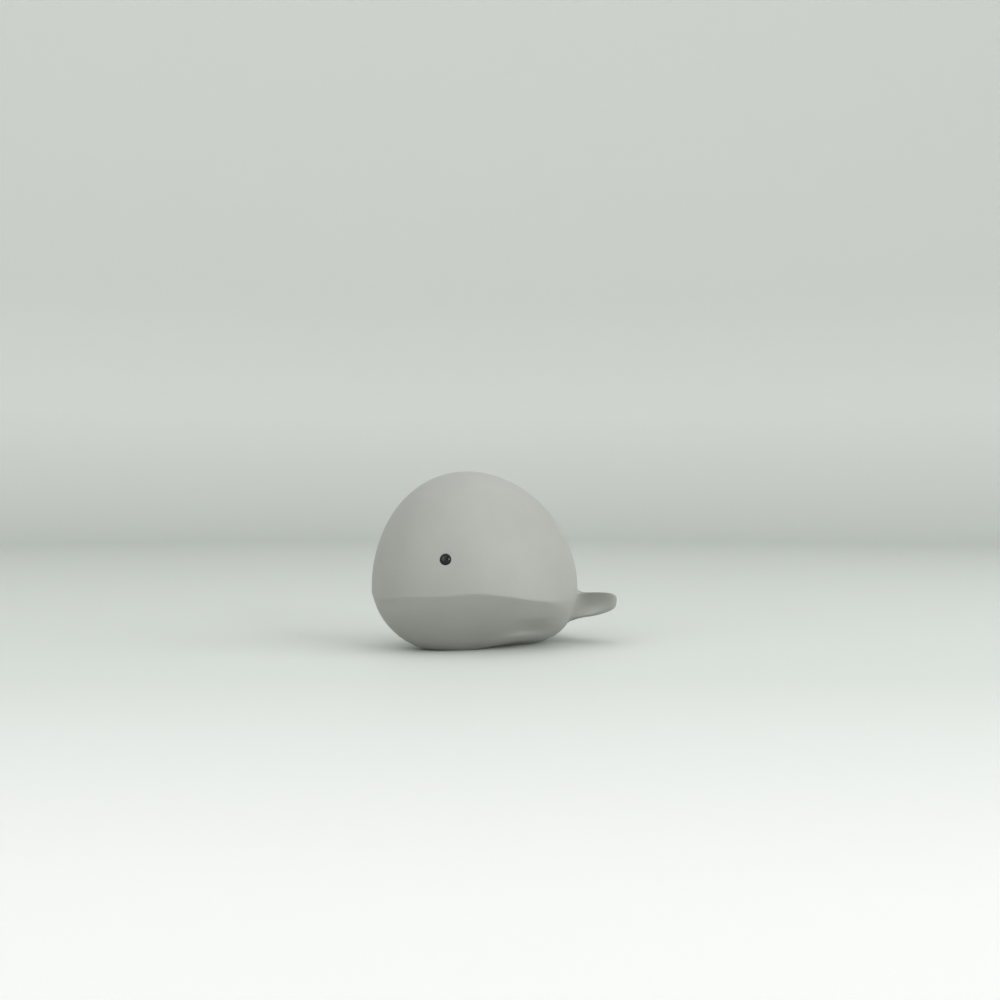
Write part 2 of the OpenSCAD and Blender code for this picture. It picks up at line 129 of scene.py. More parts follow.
class MeshPlan:
    """Collects points and faces as whole arrays, and makes one mesh object of them."""

    def __init__(self) -> None:
        """Starts an empty plan."""
        self._points: list[np.ndarray] = []
        self._quads: list[np.ndarray] = []
        self._triangles: list[np.ndarray] = []
        self._count = 0

    def add(self, points: np.ndarray) -> np.ndarray:
        """Adds points.

        Args:
            points: any array of points, the last axis holding x, y and z in millimetres.

        Returns:
            Their numbers, as an array of the same shape without its last axis.
        """
        flat = np.asarray(points, float).reshape(-1, 3)
        numbers = np.arange(self._count, self._count + len(flat)).reshape(points.shape[:-1])
        self._points.append(flat)
        self._count += len(flat)
        return numbers

    def skin(self, rows: np.ndarray, holes: np.ndarray | None = None) -> None:
        """Covers a grid of points with quads; its columns close on themselves.

        Seen from outside, rows run downward and columns run to the right.

        Args:
            rows: point numbers, one row per ring.
            holes: cells to leave open, as a mask with one row less than rows has.
        """
        right = np.roll(rows, -1, axis=1)
        cells = np.stack([rows[:-1], rows[1:], right[1:], right[:-1]], axis=-1)
        self._quads.append((cells if holes is None else cells[~holes]).reshape(-1, 4))

    def cap(self, ring: np.ndarray, pole: np.ndarray, pole_first: bool) -> None:
        """Closes a ring with triangles to one point.

        Args:
            ring: point numbers of the ring.
            pole: number of the point in its middle.
            pole_first: whether the pole comes before the ring in the order of the rows.
        """
        right = np.roll(ring, -1)
        middle = np.full_like(ring, int(pole))
        order = (middle, ring, right) if pole_first else (ring, middle, right)
        self._triangles.append(np.stack(order, axis=-1))

    def build(self, name: str, weld: bool = False) -> bpy.types.Object:
        """Makes the mesh object, without points that no face uses.

        Args:
            name: the piece's name.
            weld: whether points at the same place become one.

        Returns:
            The new object, at the origin, with smooth shading.
        """
        points = np.concatenate(self._points)
        quads = np.concatenate(self._quads) if self._quads else np.zeros((0, 4), int)
        triangles = np.concatenate(self._triangles) if self._triangles else np.zeros((0, 3), int)
        if weld:
            _, first, same = np.unique(np.round(points, 4), axis=0, return_index=True, return_inverse=True)
            same = first[np.ravel(same)]
            quads, triangles = same[quads], same[triangles]
        used = np.unique(np.concatenate([quads.ravel(), triangles.ravel()]))
        renumber = np.zeros(len(points), int)
        renumber[used] = np.arange(len(used))
        mesh = bpy.data.meshes.new(name)
        faces = [*renumber[quads].tolist(), *renumber[triangles].tolist()]
        mesh.from_pydata((points[used] * MM).tolist(), [], faces)
        mesh.shade_smooth()
        mesh.set_sharp_from_angle(angle=SHARP_ANGLE)
        mesh.update()
        piece = bpy.data.objects.new(name, mesh)
        bpy.context.scene.collection.objects.link(piece)
        return piece


@dataclass(frozen=True)
class WhaleForm:
    """The whale's plain body, shared by both shells: driving sizes in millimetres, angles in degrees."""

    nose_reach: float = 51.4
    rear_reach: float = 55.2
    half_width: float = 43.93
    height: float = 86.0
    crown_forward: float = 3.0
    wide_above: float = 0.8
    rear_wide_z: float = 28.0
    foot_front: float = 21.0
    foot_rear: float = 22.0
    foot_side: float = 13.5
    wall: float = 2.4
    front_powers: tuple[float, float] = (2.1, 1.65)
    rear_powers: tuple[float, float] = (1.9, 3.8)
    side_powers: tuple[float, float] = (2.0, 1.25)
    jaw_height: float = 28.8
    jaw_shares: tuple[float, ...] = (
        0.865, 0.92, 0.95, 0.96, 1, 0.95, 0.87, 0.80, 0.70, 0.45, 0.335, 0.325, 0.325)
    wide_turn: tuple[float, float] = (90.0, 145.0)
    tail_room: float = 105.0
    lip_fade: float = 17.0
    rear_crease: tuple[float, float, float] = (98.0, 125.0, 0.10)
    front_crease: tuple[float, float, float] = (85.0, 45.0, 0.045)
    unevenness: float = 0.06
    waves: tuple[tuple[float, float, float], ...] = ((3, 9, 0), (5, -6, 1), (2, 4, 2))

    @property
    def middle(self) -> float:
        """Place of the body's middle along x in the row frame, from the nose of the construction's box."""
        return CAD_BOX[0].x * METRE + self.nose_reach

    def _reach(self, z: np.ndarray, wide: np.ndarray, soft: np.ndarray, reach: np.ndarray, foot: np.ndarray,
               powers: tuple[float, float], top: np.ndarray) -> np.ndarray:
        """Reach of one side at height z.

        It falls from the full reach at the widest height to 0 at the top and to the foot at the
        ground, as (1 - t to a power) to the inverse power, with t from 0 at the widest to 1 at the end.
        Below the widest height the start of t is rounded over the softness, as on a hyperbola.

        Args:
            z: height above the ground.
            wide: height where the body is widest.
            soft: how far below that height the crease is rounded, as a share of it.
            reach: the side's full reach.
            foot: its reach at the ground.
            powers: the powers above and below the widest height.
            top: height of the crown.

        Returns:
            The reach at each height.
        """
        up = np.clip((z - wide) / (top - wide), 0, 1)
        down = np.clip((wide - z) / wide, 0, 1)
        down = (np.hypot(down, soft) - soft) / (np.hypot(1, soft) - soft)
        above, below = ((1 - t**power) ** (1 / power) for t, power in zip((up, down), powers))
        return np.where(z >= wide, reach * above, foot + (reach - foot) * below)

    def jaw(self, angle: np.ndarray) -> np.ndarray:
        """Height of the jaw line at each angle from the nose."""
        return self.jaw_height * curve_through(self.jaw_shares, fold(angle) / 180)

    def wide(self, angle: np.ndarray) -> np.ndarray:
        """Height where the body is widest: just above the jaw line in front and beside, level at the back.

        Args:
            angle: angle from the nose, in degrees.

        Returns:
            The height at each angle.
        """
        start, end = self.wide_turn
        g = smooth((fold(angle) - start) / (end - start))
        return (1 - g) * (self.jaw(angle) + self.wide_above) + g * self.rear_wide_z

    def softness(self, angle: np.ndarray) -> np.ndarray:
        """Rounding of the crease below the widest height: least on the flank, most at the tail."""
        return sum(width * smooth((fold(angle) - start) / (end - start))
                   for start, end, width in (self.rear_crease, self.front_crease))

    def skin(self, angle: np.ndarray, z: np.ndarray, inset: np.ndarray | float = 0.0) -> np.ndarray:
        """Points of the body's surface in the row frame.

        Each level is an ellipse between the front, rear and side reaches at its height. All of them
        are drawn in by the inset, and so is the crown.

        Args:
            angle: angle from the nose, growing toward the left flank.
            z: height above the ground.
            inset: how far the surface lies inside the outer skin.

        Returns:
            The points, with x, y and z on the last axis.
        """
        angle, z, inset = np.broadcast_arrays(*(np.asarray(v, float) for v in (angle, z, inset)))
        top, wide, soft = self.height - inset, self.wide(angle), self.softness(angle)
        front, rear, side = (
            self._reach(z, wide, soft, reach - inset, foot - inset, powers, top) for reach, foot, powers in (
                (self.nose_reach - self.crown_forward, self.foot_front, self.front_powers),
                (self.rear_reach + self.crown_forward, self.foot_rear, self.rear_powers),
                (self.half_width, self.foot_side, self.side_powers)))
        turn = np.radians(angle)
        x = self.middle + (rear - front) / 2 - self.crown_forward - (rear + front) / 2 * np.cos(turn)
        return np.stack([x, -side * np.sin(turn), z], axis=-1)

    def lipped(self, angle: np.ndarray) -> np.ndarray:
        """How much of the lip and of the step beneath it is left: all in front, none toward the tail."""
        return 1 - smooth((fold(angle) - self.tail_room) / self.lip_fade)

    def hand_made(self, angle: np.ndarray, z: np.ndarray) -> np.ndarray:
        """Slight unevenness of the moulding, as an inset: long waves that fade toward the crown.

        Each wave has its count round the body, its rise in millimetres a radian, and its phase.

        Args:
            angle: angle from the nose, in degrees.
            z: height above the ground.

        Returns:
            The inset at each point.
        """
        turn = np.radians(angle)
        waves = sum(np.sin(count * turn + z / rise + phase) for count, rise, phase in self.waves)
        return self.unevenness * waves * bump(z / self.height)

    def at_squeaker(self, forward: float) -> np.ndarray:
        """Point on the ground at the squeaker's axis, a distance forward of the body's middle."""
        return np.array([self.middle - forward, 0.0, 0.0])


@dataclass(frozen=True)
class Flukes:
    """The tail's two lobes, drawn out of the body's own surface."""

    reach: float = 20.2
    top_z: float = 26.0
    flare: float = 1.3
    top_flare: float = 0.2
    ease: float = 0.8
    lift: float = 0.5
    half_angle: float = 35.0
    spread_share: float = 0.66
    tilt_share: float = 0.15
    curl: float = 2.5
    under_lift: float = 0.5
    under_reach_share: float = 0.25
    dish: float = 3.0
    waist_share: float = 0.3
    notch_depth_share: float = 0.6
    notch_half_share: float = 0.75
    edge_power: float = 4.0
    plan_power: float = 3.5
    flare_decay: float = 1.5
    fillet_rounds: int = 14
    fillet_reach: float = 4.0
    fillet_weight: float = 0.5
    fillet_rows: tuple[int, int, int] = (4, 6, 4)
    fillet_angles: tuple[float, float] = (9.0, 7.0)

    def across(self, angle: np.ndarray) -> np.ndarray:
        """Place of a column across the tail, from -1 to 1."""
        return np.clip((angle - 180) / self.half_angle, -1, 1)

    def length(self, angle: np.ndarray, c: np.ndarray) -> np.ndarray:
        """Length of the flukes: a rounded outline with a notch in its middle, longer low down.

        Args:
            angle: angles of the columns.
            c: place of the rows, from -1 at the underside to 1 at the top.

        Returns:
            The length at each row and column.
        """
        p = self.across(angle)
        outline = np.maximum(1 - np.abs(p) ** self.plan_power, 0) ** (1 / self.plan_power)
        reach = self.reach * (1 + self.under_reach_share * (1 - c) / 2)
        return reach * outline * (1 - self.notch_depth_share * bump(p / self.notch_half_share))

    def room(self, form: WhaleForm, angle: np.ndarray) -> np.ndarray:
        """How far round the body the rows have opened for the tail, from 0 in front to 1 at its root."""
        return smooth((fold(angle) - form.tail_room) / (180 - self.half_angle - form.tail_room))


@dataclass(frozen=True)
class EyeSocket:
    """Round socket in the dome's wall, with a hole for the bead's stem."""

    angle: float = 45.2
    z: float = 44.8
    bead_r: float = 2.5
    clearance: float = 0.15
    depth: float = 1.0
    stem_r: float = 1.45
    lip_r: float = 0.35
    floor_round: float = 0.2
    hole_end: float = 0.1
    lip_points: int = 6
    wall_points: int = 4
    step: float = 0.5
    outer_shares: tuple[float, ...] = (0.75, 0.5, 0.25)
    inner_shares: tuple[float, ...] = (0, 0.15, 0.4, 0.7)

    def axes(self, form: WhaleForm, side: Side,
             inset: float = 0.0) -> tuple[np.ndarray, np.ndarray, np.ndarray]:
        """Place of the socket on the skin, its outward direction, and how the skin's parameters move it.

        Args:
            form: the body.
            side: the flank that the eye is on.
            inset: how far inside the outer skin to look.

        Returns:
            The point, the unit normal, and a 2 x 2 matrix that turns a step across and up the
            tangent plane, in millimetres, into a step of angle and height.
        """
        a, h = side.value * self.angle, self.step
        place = form.skin(a, self.z, inset)
        by_angle = (form.skin(a + h, self.z, inset) - form.skin(a - h, self.z, inset)) / (2 * h)
        by_height = (form.skin(a, self.z + h, inset) - form.skin(a, self.z - h, inset)) / (2 * h)
        across = by_angle / np.linalg.norm(by_angle)
        out = np.cross(by_angle, by_height)
        out /= np.linalg.norm(out)
        up = np.cross(out, across)
        steps = np.array([[by_angle @ across, by_height @ across], [by_angle @ up, by_height @ up]])
        return place, out, np.linalg.inv(steps)


def perimeter(grid: np.ndarray, top: int, bottom: int, left: int, right: int) -> np.ndarray:
    """Walks round a block of a grid: along its top row, down, back along its bottom row, and up.

    Args:
        grid: any array whose first two axes are rows and columns.
        top: row that is uppermost on the object, which may have the higher number.
        bottom: the lowermost row.
        left: first column.
        right: last column.

    Returns:
        The grid's entries on the way round, each once.
    """
    down = 1 if bottom > top else -1
    rows = np.arange(top, bottom, down)
    columns = np.arange(left, right)
    return np.concatenate([
        grid[top, columns],
        grid[rows, right],
        grid[bottom, columns[::-1] + 1],
        grid[rows[::-1] + down, left],
    ])


@dataclass
class UpperShell:
    """Dome of the head and back, drawn out into the tail flukes, with an eye socket on each flank."""

    form: WhaleForm
    flukes: Flukes = field(default_factory=Flukes)
    socket: EyeSocket = field(default_factory=EyeSocket)
    lip_rise: float = 0.4
    lip_inset: float = 0.08
    band_height: float = 8.0
    band_foot: float = 1.2
    front_columns: int = 288
    tail_columns: int = 96
    crown_rows: int = 96
    tail_rows: int = 56
    lip_rows: int = 6
    rim_rows: int = 3
    inner_rows: int = 40
    socket_cells: tuple[int, int] = (12, 12)
    inner_cells: tuple[int, int] = (4, 20)

    def columns(self) -> np.ndarray:
        """Angles of the columns, even round the front and closer together across the tail's edges.

        Returns:
            The angles from the nose, in degrees.
        """
        h = self.flukes.half_angle
        front = np.linspace(h - 180, 180 - h, self.front_columns, endpoint=False)
        tail = 180 + h * np.sin(np.linspace(-np.pi / 2, np.pi / 2, self.tail_columns, endpoint=False))
        return np.concatenate([front, tail])

    def band_top(self, angle: np.ndarray) -> np.ndarray:
        """Upper edge of the rows that make the tail, which sink to the jaw line toward the front.

        Args:
            angle: angles of the columns.

        Returns:
            Its height at each column.
        """
        fl = self.flukes
        g = fl.room(self.form, angle)
        dish = fl.dish * (1 - np.square(fl.across(angle)))
        return (1 - g) * (self.form.jaw(angle) + self.band_height) + g * (fl.top_z + fl.top_flare - dish)

    def tail_band(self, angle: np.ndarray) -> np.ndarray:
        """Rows between the band's top and the lip, drawn out backward into the flukes.

        A row's turn runs from 0 to 180 degrees. Its height follows the signed cosine and its run out
        the sine, both to the power 2 / edge_power, as on a rounded half oval. The run is eased at its
        start, and its share of the reach is what has grown. As that grows, the lobes spread sideways,
        their tips curl up with the square of the place across, and the whole lifts. The waist is a
        hump half way out, added to the spread at the top and underside and taken off between them.
        The flare at the root thins away as a falling exponential.

        Args:
            angle: angles of the columns.

        Returns:
            The points, rows first.
        """
        fl = self.flukes
        turn = np.linspace(0, np.pi, self.tail_rows + 1)[:, None]
        c = np.sign(np.cos(turn)) * np.abs(np.cos(turn)) ** (2 / fl.edge_power)
        top, bottom = self.band_top(angle), self.form.jaw(angle) + self.band_foot
        z = (top + bottom) / 2 + c * (top - bottom) / 2
        points = self.form.skin(angle, z, self.form.hand_made(angle, z))
        run = fl.length(angle, c) * np.clip(np.sin(turn), 0, 1) ** (2 / fl.edge_power)
        out = np.sqrt(run**2 + fl.ease**2) - fl.ease
        flare = np.where(c > 0, fl.top_flare, fl.flare)
        grown = out / fl.reach
        half_way = 4 * grown * (1 - np.minimum(grown, 1))
        points[..., 0] += out
        waist = fl.waist_share * (c**2 - 0.5) * half_way
        points[..., 1] *= 1 + fl.spread_share * (1 + fl.tilt_share * c) * grown + waist
        curl = fl.curl * np.square(fl.across(angle))
        points[..., 2] += (fl.lift + curl + fl.under_lift * (1 - c) / 2) * grown
        points[..., 2] -= c * flare * (1 - np.exp(-fl.flare_decay * out / flare))
        return points

    def soften_root(self, rows: np.ndarray, angle: np.ndarray, first: int) -> np.ndarray:
        """Rounds the corner where the flukes leave the body.

        Each round moves a point toward the mean of its four neighbours, weighted by a bell of its
        distance from the root. The weight fades in over rows above the band, fades out over its
        last rows, and fades in over angles beside the tail, so everything else stays as it is.

        Args:
            rows: the outer surface, rows first.
            angle: angles of the columns.
            first: number of the tail band's first row.

        Returns:
            The softened rows.
        """
        fl = self.flukes
        last = first + self.tail_rows
        plain = self.form.skin(angle, rows[..., 2])
        out = np.maximum(rows[..., 0] - plain[..., 0], 0)
        lines = np.arange(len(rows))[:, None]
        above, over, end = fl.fillet_rows
        beside, round_over = fl.fillet_angles
        near_rows = smooth((lines - first + above) / over) * smooth((last + 1 - lines) / end)
        near_columns = smooth((fold(angle) - 180 + fl.half_angle + beside) / round_over)
        bell = np.exp(-(out / fl.fillet_reach) ** 2)
        weight = (fl.fillet_weight * bell * near_rows * near_columns)[..., None]
        for _ in range(fl.fillet_rounds):
            up = np.concatenate([rows[:1], rows[:-1]])
            down = np.concatenate([rows[1:], rows[-1:]])
            mean = (up + down + np.roll(rows, 1, axis=1) + np.roll(rows, -1, axis=1)) / 4
            rows = rows + weight * (mean - rows)
        return rows

    def outer_rows(self, angle: np.ndarray) -> tuple[np.ndarray, np.ndarray]:
        """Outer skin from below the crown's pole down to the lip's edge.

        The crown's rows rise above the band as the sine of an even turn, the tail band follows, and
        the lip's edge is a quarter oval.

        Args:
            angle: angles of the columns.

        Returns:
            The points, rows first, and the height that each was worked out for.
        """
        band = self.band_top(angle)
        turn = np.linspace(np.pi / 2, 0, self.crown_rows, endpoint=False)[1:, None]
        crown_z = band + (self.form.height - band) * np.sin(turn)
        crown = self.form.skin(angle, crown_z, self.form.hand_made(angle, crown_z))
        tail = self.tail_band(angle)
        arc = np.linspace(0, np.pi / 2, self.lip_rows)[:, None]
        lip_z = self.form.jaw(angle) + self.lip_rise * (1 - np.sin(arc))
        lip_inset = self.lip_inset * self.form.lipped(angle) * (1 - np.cos(arc))
        lip = self.form.skin(angle, lip_z, lip_inset + self.form.hand_made(angle, lip_z))
        rows = self.soften_root(np.concatenate([crown, tail, lip]), angle, len(crown))
        return rows, np.concatenate([crown_z, tail[..., 2], lip_z])

    def pierce(self, plan: MeshPlan, side: Side, angle: np.ndarray, outer: tuple[np.ndarray, np.ndarray],
               inner: tuple[np.ndarray, np.ndarray]) -> tuple[tuple[slice, slice], tuple[slice, slice]]:
        """Adds one eye socket between an open block of the outer skin and one of the inner skin.

        Rings run from the outer block's edge to a circle, over a rounded lip, down the socket's wall,
        across its floor, through the stem's hole and out to the inner block's edge.

        Args:
            plan: the mesh under way.
            side: the flank that the eye is on.
            angle: angles of the columns.
            outer: point numbers and heights of the outer skin's rows.
            inner: the same for the inner skin.

        Returns:
            The cells to leave open in the outer and in the inner skin.
        """
        s, wall = self.socket, self.form.wall
        middle = int(np.argmin(np.abs(angle - side.value * s.angle)))
        blocks, edges, steps = [], [], []
        for (numbers, heights), (tall, wide) in ((outer, self.socket_cells), (inner, self.inner_cells)):
            falling = heights[0, middle] > heights[-1, middle]
            row = int(np.argmin(np.abs(heights[:, middle] - s.z)))
            low, left = row - tall // 2, middle - wide // 2
            top, bottom = (low, low + tall) if falling else (low + tall, low)
            blocks.append((slice(low, low + tall), slice(left, left + wide)))
            edges.append(perimeter(numbers, top, bottom, left, left + wide))
            a = perimeter(np.broadcast_to(angle, heights.shape), top, bottom, left, left + wide)
            z = perimeter(heights, top, bottom, left, left + wide)
            steps.append(np.stack([a - side.value * s.angle, z - s.z]))
        outer_axes, inner_axes = s.axes(self.form, side), s.axes(self.form, side, wall)
        flat = np.linalg.inv(outer_axes[2]) @ steps[0]
        bearing = np.arctan2(flat[1], flat[0])
        circle = np.stack([np.cos(bearing), np.sin(bearing)])

        def ring(radius: float, depth: float, inset: float = 0.0, share: float = 0.0) -> np.ndarray:
            """Ring of a radius on the skin or beneath it, drawn toward its block's edge by a share.

            Args:
                radius: the ring's radius.
                depth: how far it lies beneath the skin, along the socket's axis.
                inset: the skin's inset, 0 for the outer skin.
                share: how far it is drawn toward the edge.

            Returns:
                The ring's points.
            """
            _, out, to_skin = inner_axes if inset else outer_axes
            step = to_skin @ (radius * circle)
            step = step + share * ((steps[1] if inset else steps[0]) - step)
            a, z = side.value * s.angle + step[0], s.z + step[1]
            return self.form.skin(a, z, inset + self.form.hand_made(a, z) * (inset == 0)) - depth * out

        lip, r, low = s.lip_r, s.bead_r + s.clearance, s.floor_round
        arc, n = np.linspace(0, np.pi / 2, s.lip_points), s.wall_points
        rings = [ring(r + lip, 0, share=k) for k in s.outer_shares]
        rings += [ring(r + lip * (1 - np.sin(t)), lip * (1 - np.cos(t))) for t in arc]
        rings += [ring(r, d) for d in np.linspace(lip, s.depth - low, n)[1:]]
        rings += [ring(r - low * (1 - np.cos(t)), s.depth - low * (1 - np.sin(t))) for t in arc[1:]]
        rings += [ring(k, s.depth) for k in np.linspace(r - low, s.stem_r, n)[1:]]
        rings += [ring(s.stem_r, d) for d in np.linspace(s.depth, wall - s.hole_end, n)[1:]]
        rings += [ring(s.stem_r, 0, wall, share=k) for k in s.inner_shares]
        tunnel = plan.add(np.array(rings))
        plan.skin(np.concatenate([edges[0][None], tunnel, edges[1][None]]))
        return blocks[0], blocks[1]

    def build(self) -> bpy.types.Object:
        """Makes the closed shell: outer skin, rim, inner skin and both eye sockets.

        Returns:
            The dome.
        """
        angle, form = self.columns(), self.form
        outer, outer_z = self.outer_rows(angle)
        jaw, top = form.jaw(angle), form.height - form.wall
        across = np.linspace(0, 1, self.rim_rows + 1)[1:-1, None]
        rim_start = self.lip_inset * form.lipped(angle)
        rim = form.skin(angle, jaw, rim_start + (form.wall - rim_start) * across)
        turn = np.linspace(0, np.pi / 2, self.inner_rows, endpoint=False)[:, None]
        inner_z = jaw + (top - jaw) * np.sin(turn)
        inner = form.skin(angle, inner_z, form.wall)

        plan = MeshPlan()
        crown_x = form.middle - form.crown_forward
        pole = plan.add(np.array([crown_x, 0, form.height]))
        inner_pole = plan.add(np.array([crown_x, 0, top]))
        outer_ids, rim_ids, inner_ids = plan.add(outer), plan.add(rim), plan.add(inner)
        outer_open = np.zeros((len(outer) - 1, len(angle)), bool)
        inner_open = np.zeros((len(inner) - 1, len(angle)), bool)
        for side in Side:
            here, behind = self.pierce(plan, side, angle, (outer_ids, outer_z), (inner_ids, inner_z))
            outer_open[here] = True
            inner_open[behind] = True
        plan.skin(outer_ids, outer_open)
        plan.skin(np.concatenate([outer_ids[-1:], rim_ids, inner_ids[:1]]))
        plan.skin(inner_ids, inner_open)
        plan.cap(outer_ids[0], pole, pole_first=True)
        plan.cap(inner_ids[-1], inner_pole, pole_first=False)
        return plan.build("dome_skin")


@dataclass
class BellyShell:
    """Belly below the jaw line: flat foot, shallow arch, a dimple over a ridge, and the squeaker's seat."""

    form: WhaleForm
    floor: float = 4.6
    floor_wall_extra: float = 1.0
    lip_inset: float = 0.08
    jaw_step: float = 0.4
    jaw_step_rise: float = 2.6
    jaw_step_fade: float = 13.0
    jaw_gap: float = 0.02
    lap_height: float = 3.0
    lap_clearance: float = 0.3
    lap_wall: float = 1.4
    arch_height: float = 2.2
    arch_back: float = 14.0
    arch_half: float = 30.0
    arch_fade: float = 24.0
    arch_flat: float = 7.0
    arch_rise: float = 6.0
    dimple_depth: float = 1.8
    dimple_z: float = 10.5
    dimple_half: float = 5.5
    dimple_angle: float = 99.0
    dimple_half_angle: float = 20.0
    ridge_height: float = 2.6
    ridge_z: float = 1.4
    ridge_half: float = 7.0
    ridge_half_angle: float = 38.0
    squeaker_forward: float = 12.0
    seat_r: float = 10.6
    seat_depth: float = 2.0
    bore_r: float = 8.05
    edge_r: float = 0.4
    columns: int = 320
    outer_rows: int = 72
    foot_rows: int = 26
    foot_spacing: float = 0.9
    floor_rows: int = 12
    inner_rows: int = 20
    edge_points: int = 5
    seat_points: int = 4

    def inset(self, angle: np.ndarray, z: np.ndarray) -> np.ndarray:
        """How far the skin is set in: the step under the lip, the dimple less its ridge, and unevenness.

        Args:
            angle: angle from the nose, in degrees.
            z: height above the ground.

        Returns:
            The inset at each point, below 0 where the skin stands out.
        """
        below = self.form.jaw(angle) - z
        step = self.jaw_step * smooth(below / self.jaw_step_rise)
        step = step * (1 - smooth((below - self.jaw_step_rise) / self.jaw_step_fade))
        step = (step + self.lip_inset * bump(below / self.jaw_step_rise)) * self.form.lipped(angle)
        dimple = bump((fold(angle) - self.dimple_angle) / self.dimple_half_angle)
        dimple = self.dimple_depth * dimple * bump((z - self.dimple_z) / self.dimple_half)
        ridge = bump((fold(angle) - self.dimple_angle) / self.ridge_half_angle)
        ridge = self.ridge_height * ridge * bump((z - self.ridge_z) / self.ridge_half)
        return step + dimple - ridge + self.form.hand_made(angle, z)

    def arched(self, points: np.ndarray) -> np.ndarray:
        """Lifts points near the ground into the arch under each flank: a hump along x, fading with height.

        Args:
            points: points in the row frame.

        Returns:
            The points, lifted.
        """
        along = bump((points[..., 0] - self.form.middle - self.arch_back) / self.arch_half)
        beside = smooth((np.abs(points[..., 1]) - self.arch_flat) / self.arch_rise)
        fade = np.maximum(1 - points[..., 2] / self.arch_fade, 0) ** 2
        lifted = points.copy()
        lifted[..., 2] += self.arch_height * along * beside * fade
        return lifted

    def circle(self, angle: np.ndarray, radius: float, z: float) -> np.ndarray:
        """Circle about the squeaker's axis, with a point for each column.

        Args:
            angle: angles of the columns.
            radius: the circle's radius.
            z: height above the ground.

        Returns:
            The circle's points.
        """
        turn = np.radians(angle)
        centre = self.form.at_squeaker(self.squeaker_forward)
        ring = np.stack([-radius * np.cos(turn), -radius * np.sin(turn), np.full_like(turn, z)], axis=-1)
        return centre + ring

    def build(self) -> bpy.types.Object:
        """Makes the closed shell as one loop of rings: floor, wall, tongue, flank, foot, seat and bore.

        Returns:
            The belly.
        """
        form, floor = self.form, self.floor
        angle = np.linspace(-180, 180, self.columns, endpoint=False)
        jaw = form.jaw(angle)
        tongue = form.wall + self.lap_clearance
        inside = tongue + self.lap_wall

        up = np.linspace(0, 1, self.inner_rows)[:, None]
        inner_z = floor + (jaw + self.lap_height - floor) * up
        inner = form.skin(angle, inner_z, inside + self.floor_wall_extra * (1 - up))
        bore_top = self.circle(angle, self.bore_r, floor)
        out = np.linspace(0, 1, self.floor_rows, endpoint=False)[:, None, None]
        floor_rings = bore_top + (inner[0] - bore_top) * out

        lap = np.stack([
            form.skin(angle, jaw + self.lap_height, tongue),
            form.skin(angle, jaw + self.lap_height / 2, tongue),
            form.skin(angle, jaw - self.jaw_gap, tongue),
            form.skin(angle, jaw - self.jaw_gap, tongue / 2),
        ])
        turn = np.linspace(np.pi / 2, 0, self.outer_rows)[:, None]
        z = (jaw - self.jaw_gap) * (1 - np.cos(turn))
        flank = self.arched(form.skin(angle, z, self.inset(angle, z)))

        edge = self.circle(angle, self.seat_r + self.edge_r, 0)
        foot = form.skin(angle, 0)
        inward = (1 - np.linspace(0, 1, self.foot_rows)[1:, None, None]) ** self.foot_spacing
        foot_rings = self.arched(edge + (foot - edge) * inward)
        arc, n = np.linspace(0, np.pi / 2, self.edge_points)[1:], self.seat_points
        seat = [self.circle(angle, self.seat_r + self.edge_r * (1 - np.sin(t)), self.edge_r * (1 - np.cos(t)))
                for t in arc]
        seat += [self.circle(angle, self.seat_r, k * self.seat_depth) for k in (0.5, 1)]
        seat += [self.circle(angle, r, self.seat_depth) for r in np.linspace(self.seat_r, self.bore_r, n)[1:]]
        seat += [self.circle(angle, self.bore_r, h) for h in np.linspace(self.seat_depth, floor, n)[1:-1]]

        plan = MeshPlan()
        rings = plan.add(np.concatenate([floor_rings, inner, lap, flank, foot_rings, np.array(seat)]))
        plan.skin(np.concatenate([rings, rings[:1]]))
        return plan.build("belly_skin")


def rounded(corners: list[tuple[float, float]], radius: float, steps: int = 4) -> np.ndarray:
    """Closed outline with each corner rounded.

    A corner becomes a quadratic curve between two points on its sides, at most a third of a side away.

    Args:
        corners: radius and height of each corner, in order.
        radius: how far from the corner the rounding starts.
        steps: points on each rounding.

    Returns:
        The outline's points, as rows of radius and height.
    """
    here = np.array(corners, float)
    before, after = np.roll(here, 1, axis=0) - here, np.roll(here, -1, axis=0) - here
    long_before = np.linalg.norm(before, axis=1, keepdims=True)
    long_after = np.linalg.norm(after, axis=1, keepdims=True)
    start = here + before * np.minimum(radius / long_before, 1 / 3)
    end = here + after * np.minimum(radius / long_after, 1 / 3)
    t = np.linspace(0, 1, steps)[None, :, None]
    curve = (1 - t) ** 2 * start[:, None] + 2 * t * (1 - t) * here[:, None] + t**2 * end[:, None]
    return curve.reshape(-1, 2)


def turned(name: str, centre: np.ndarray, outline: np.ndarray, segments: int = 128) -> bpy.types.Object:
    """Ring turned from a closed outline about a vertical axis.

    Args:
        name: the piece's name.
        centre: the axis's foot.
        outline: radius and height along the outline, anticlockwise with the radius to the right.
        segments: points round the axis.

    Returns:
        The closed ring.
    """
    turn = np.linspace(0, 2 * np.pi, segments, endpoint=False)
    r, z = outline[::-1, 0, None], outline[::-1, 1, None]
    points = np.stack([r * np.cos(turn), r * np.sin(turn), z + 0 * turn], axis=-1)
    plan = MeshPlan()
    rings = plan.add(centre + points)
    plan.skin(np.concatenate([rings, rings[:1]]))
    return plan.build(name)


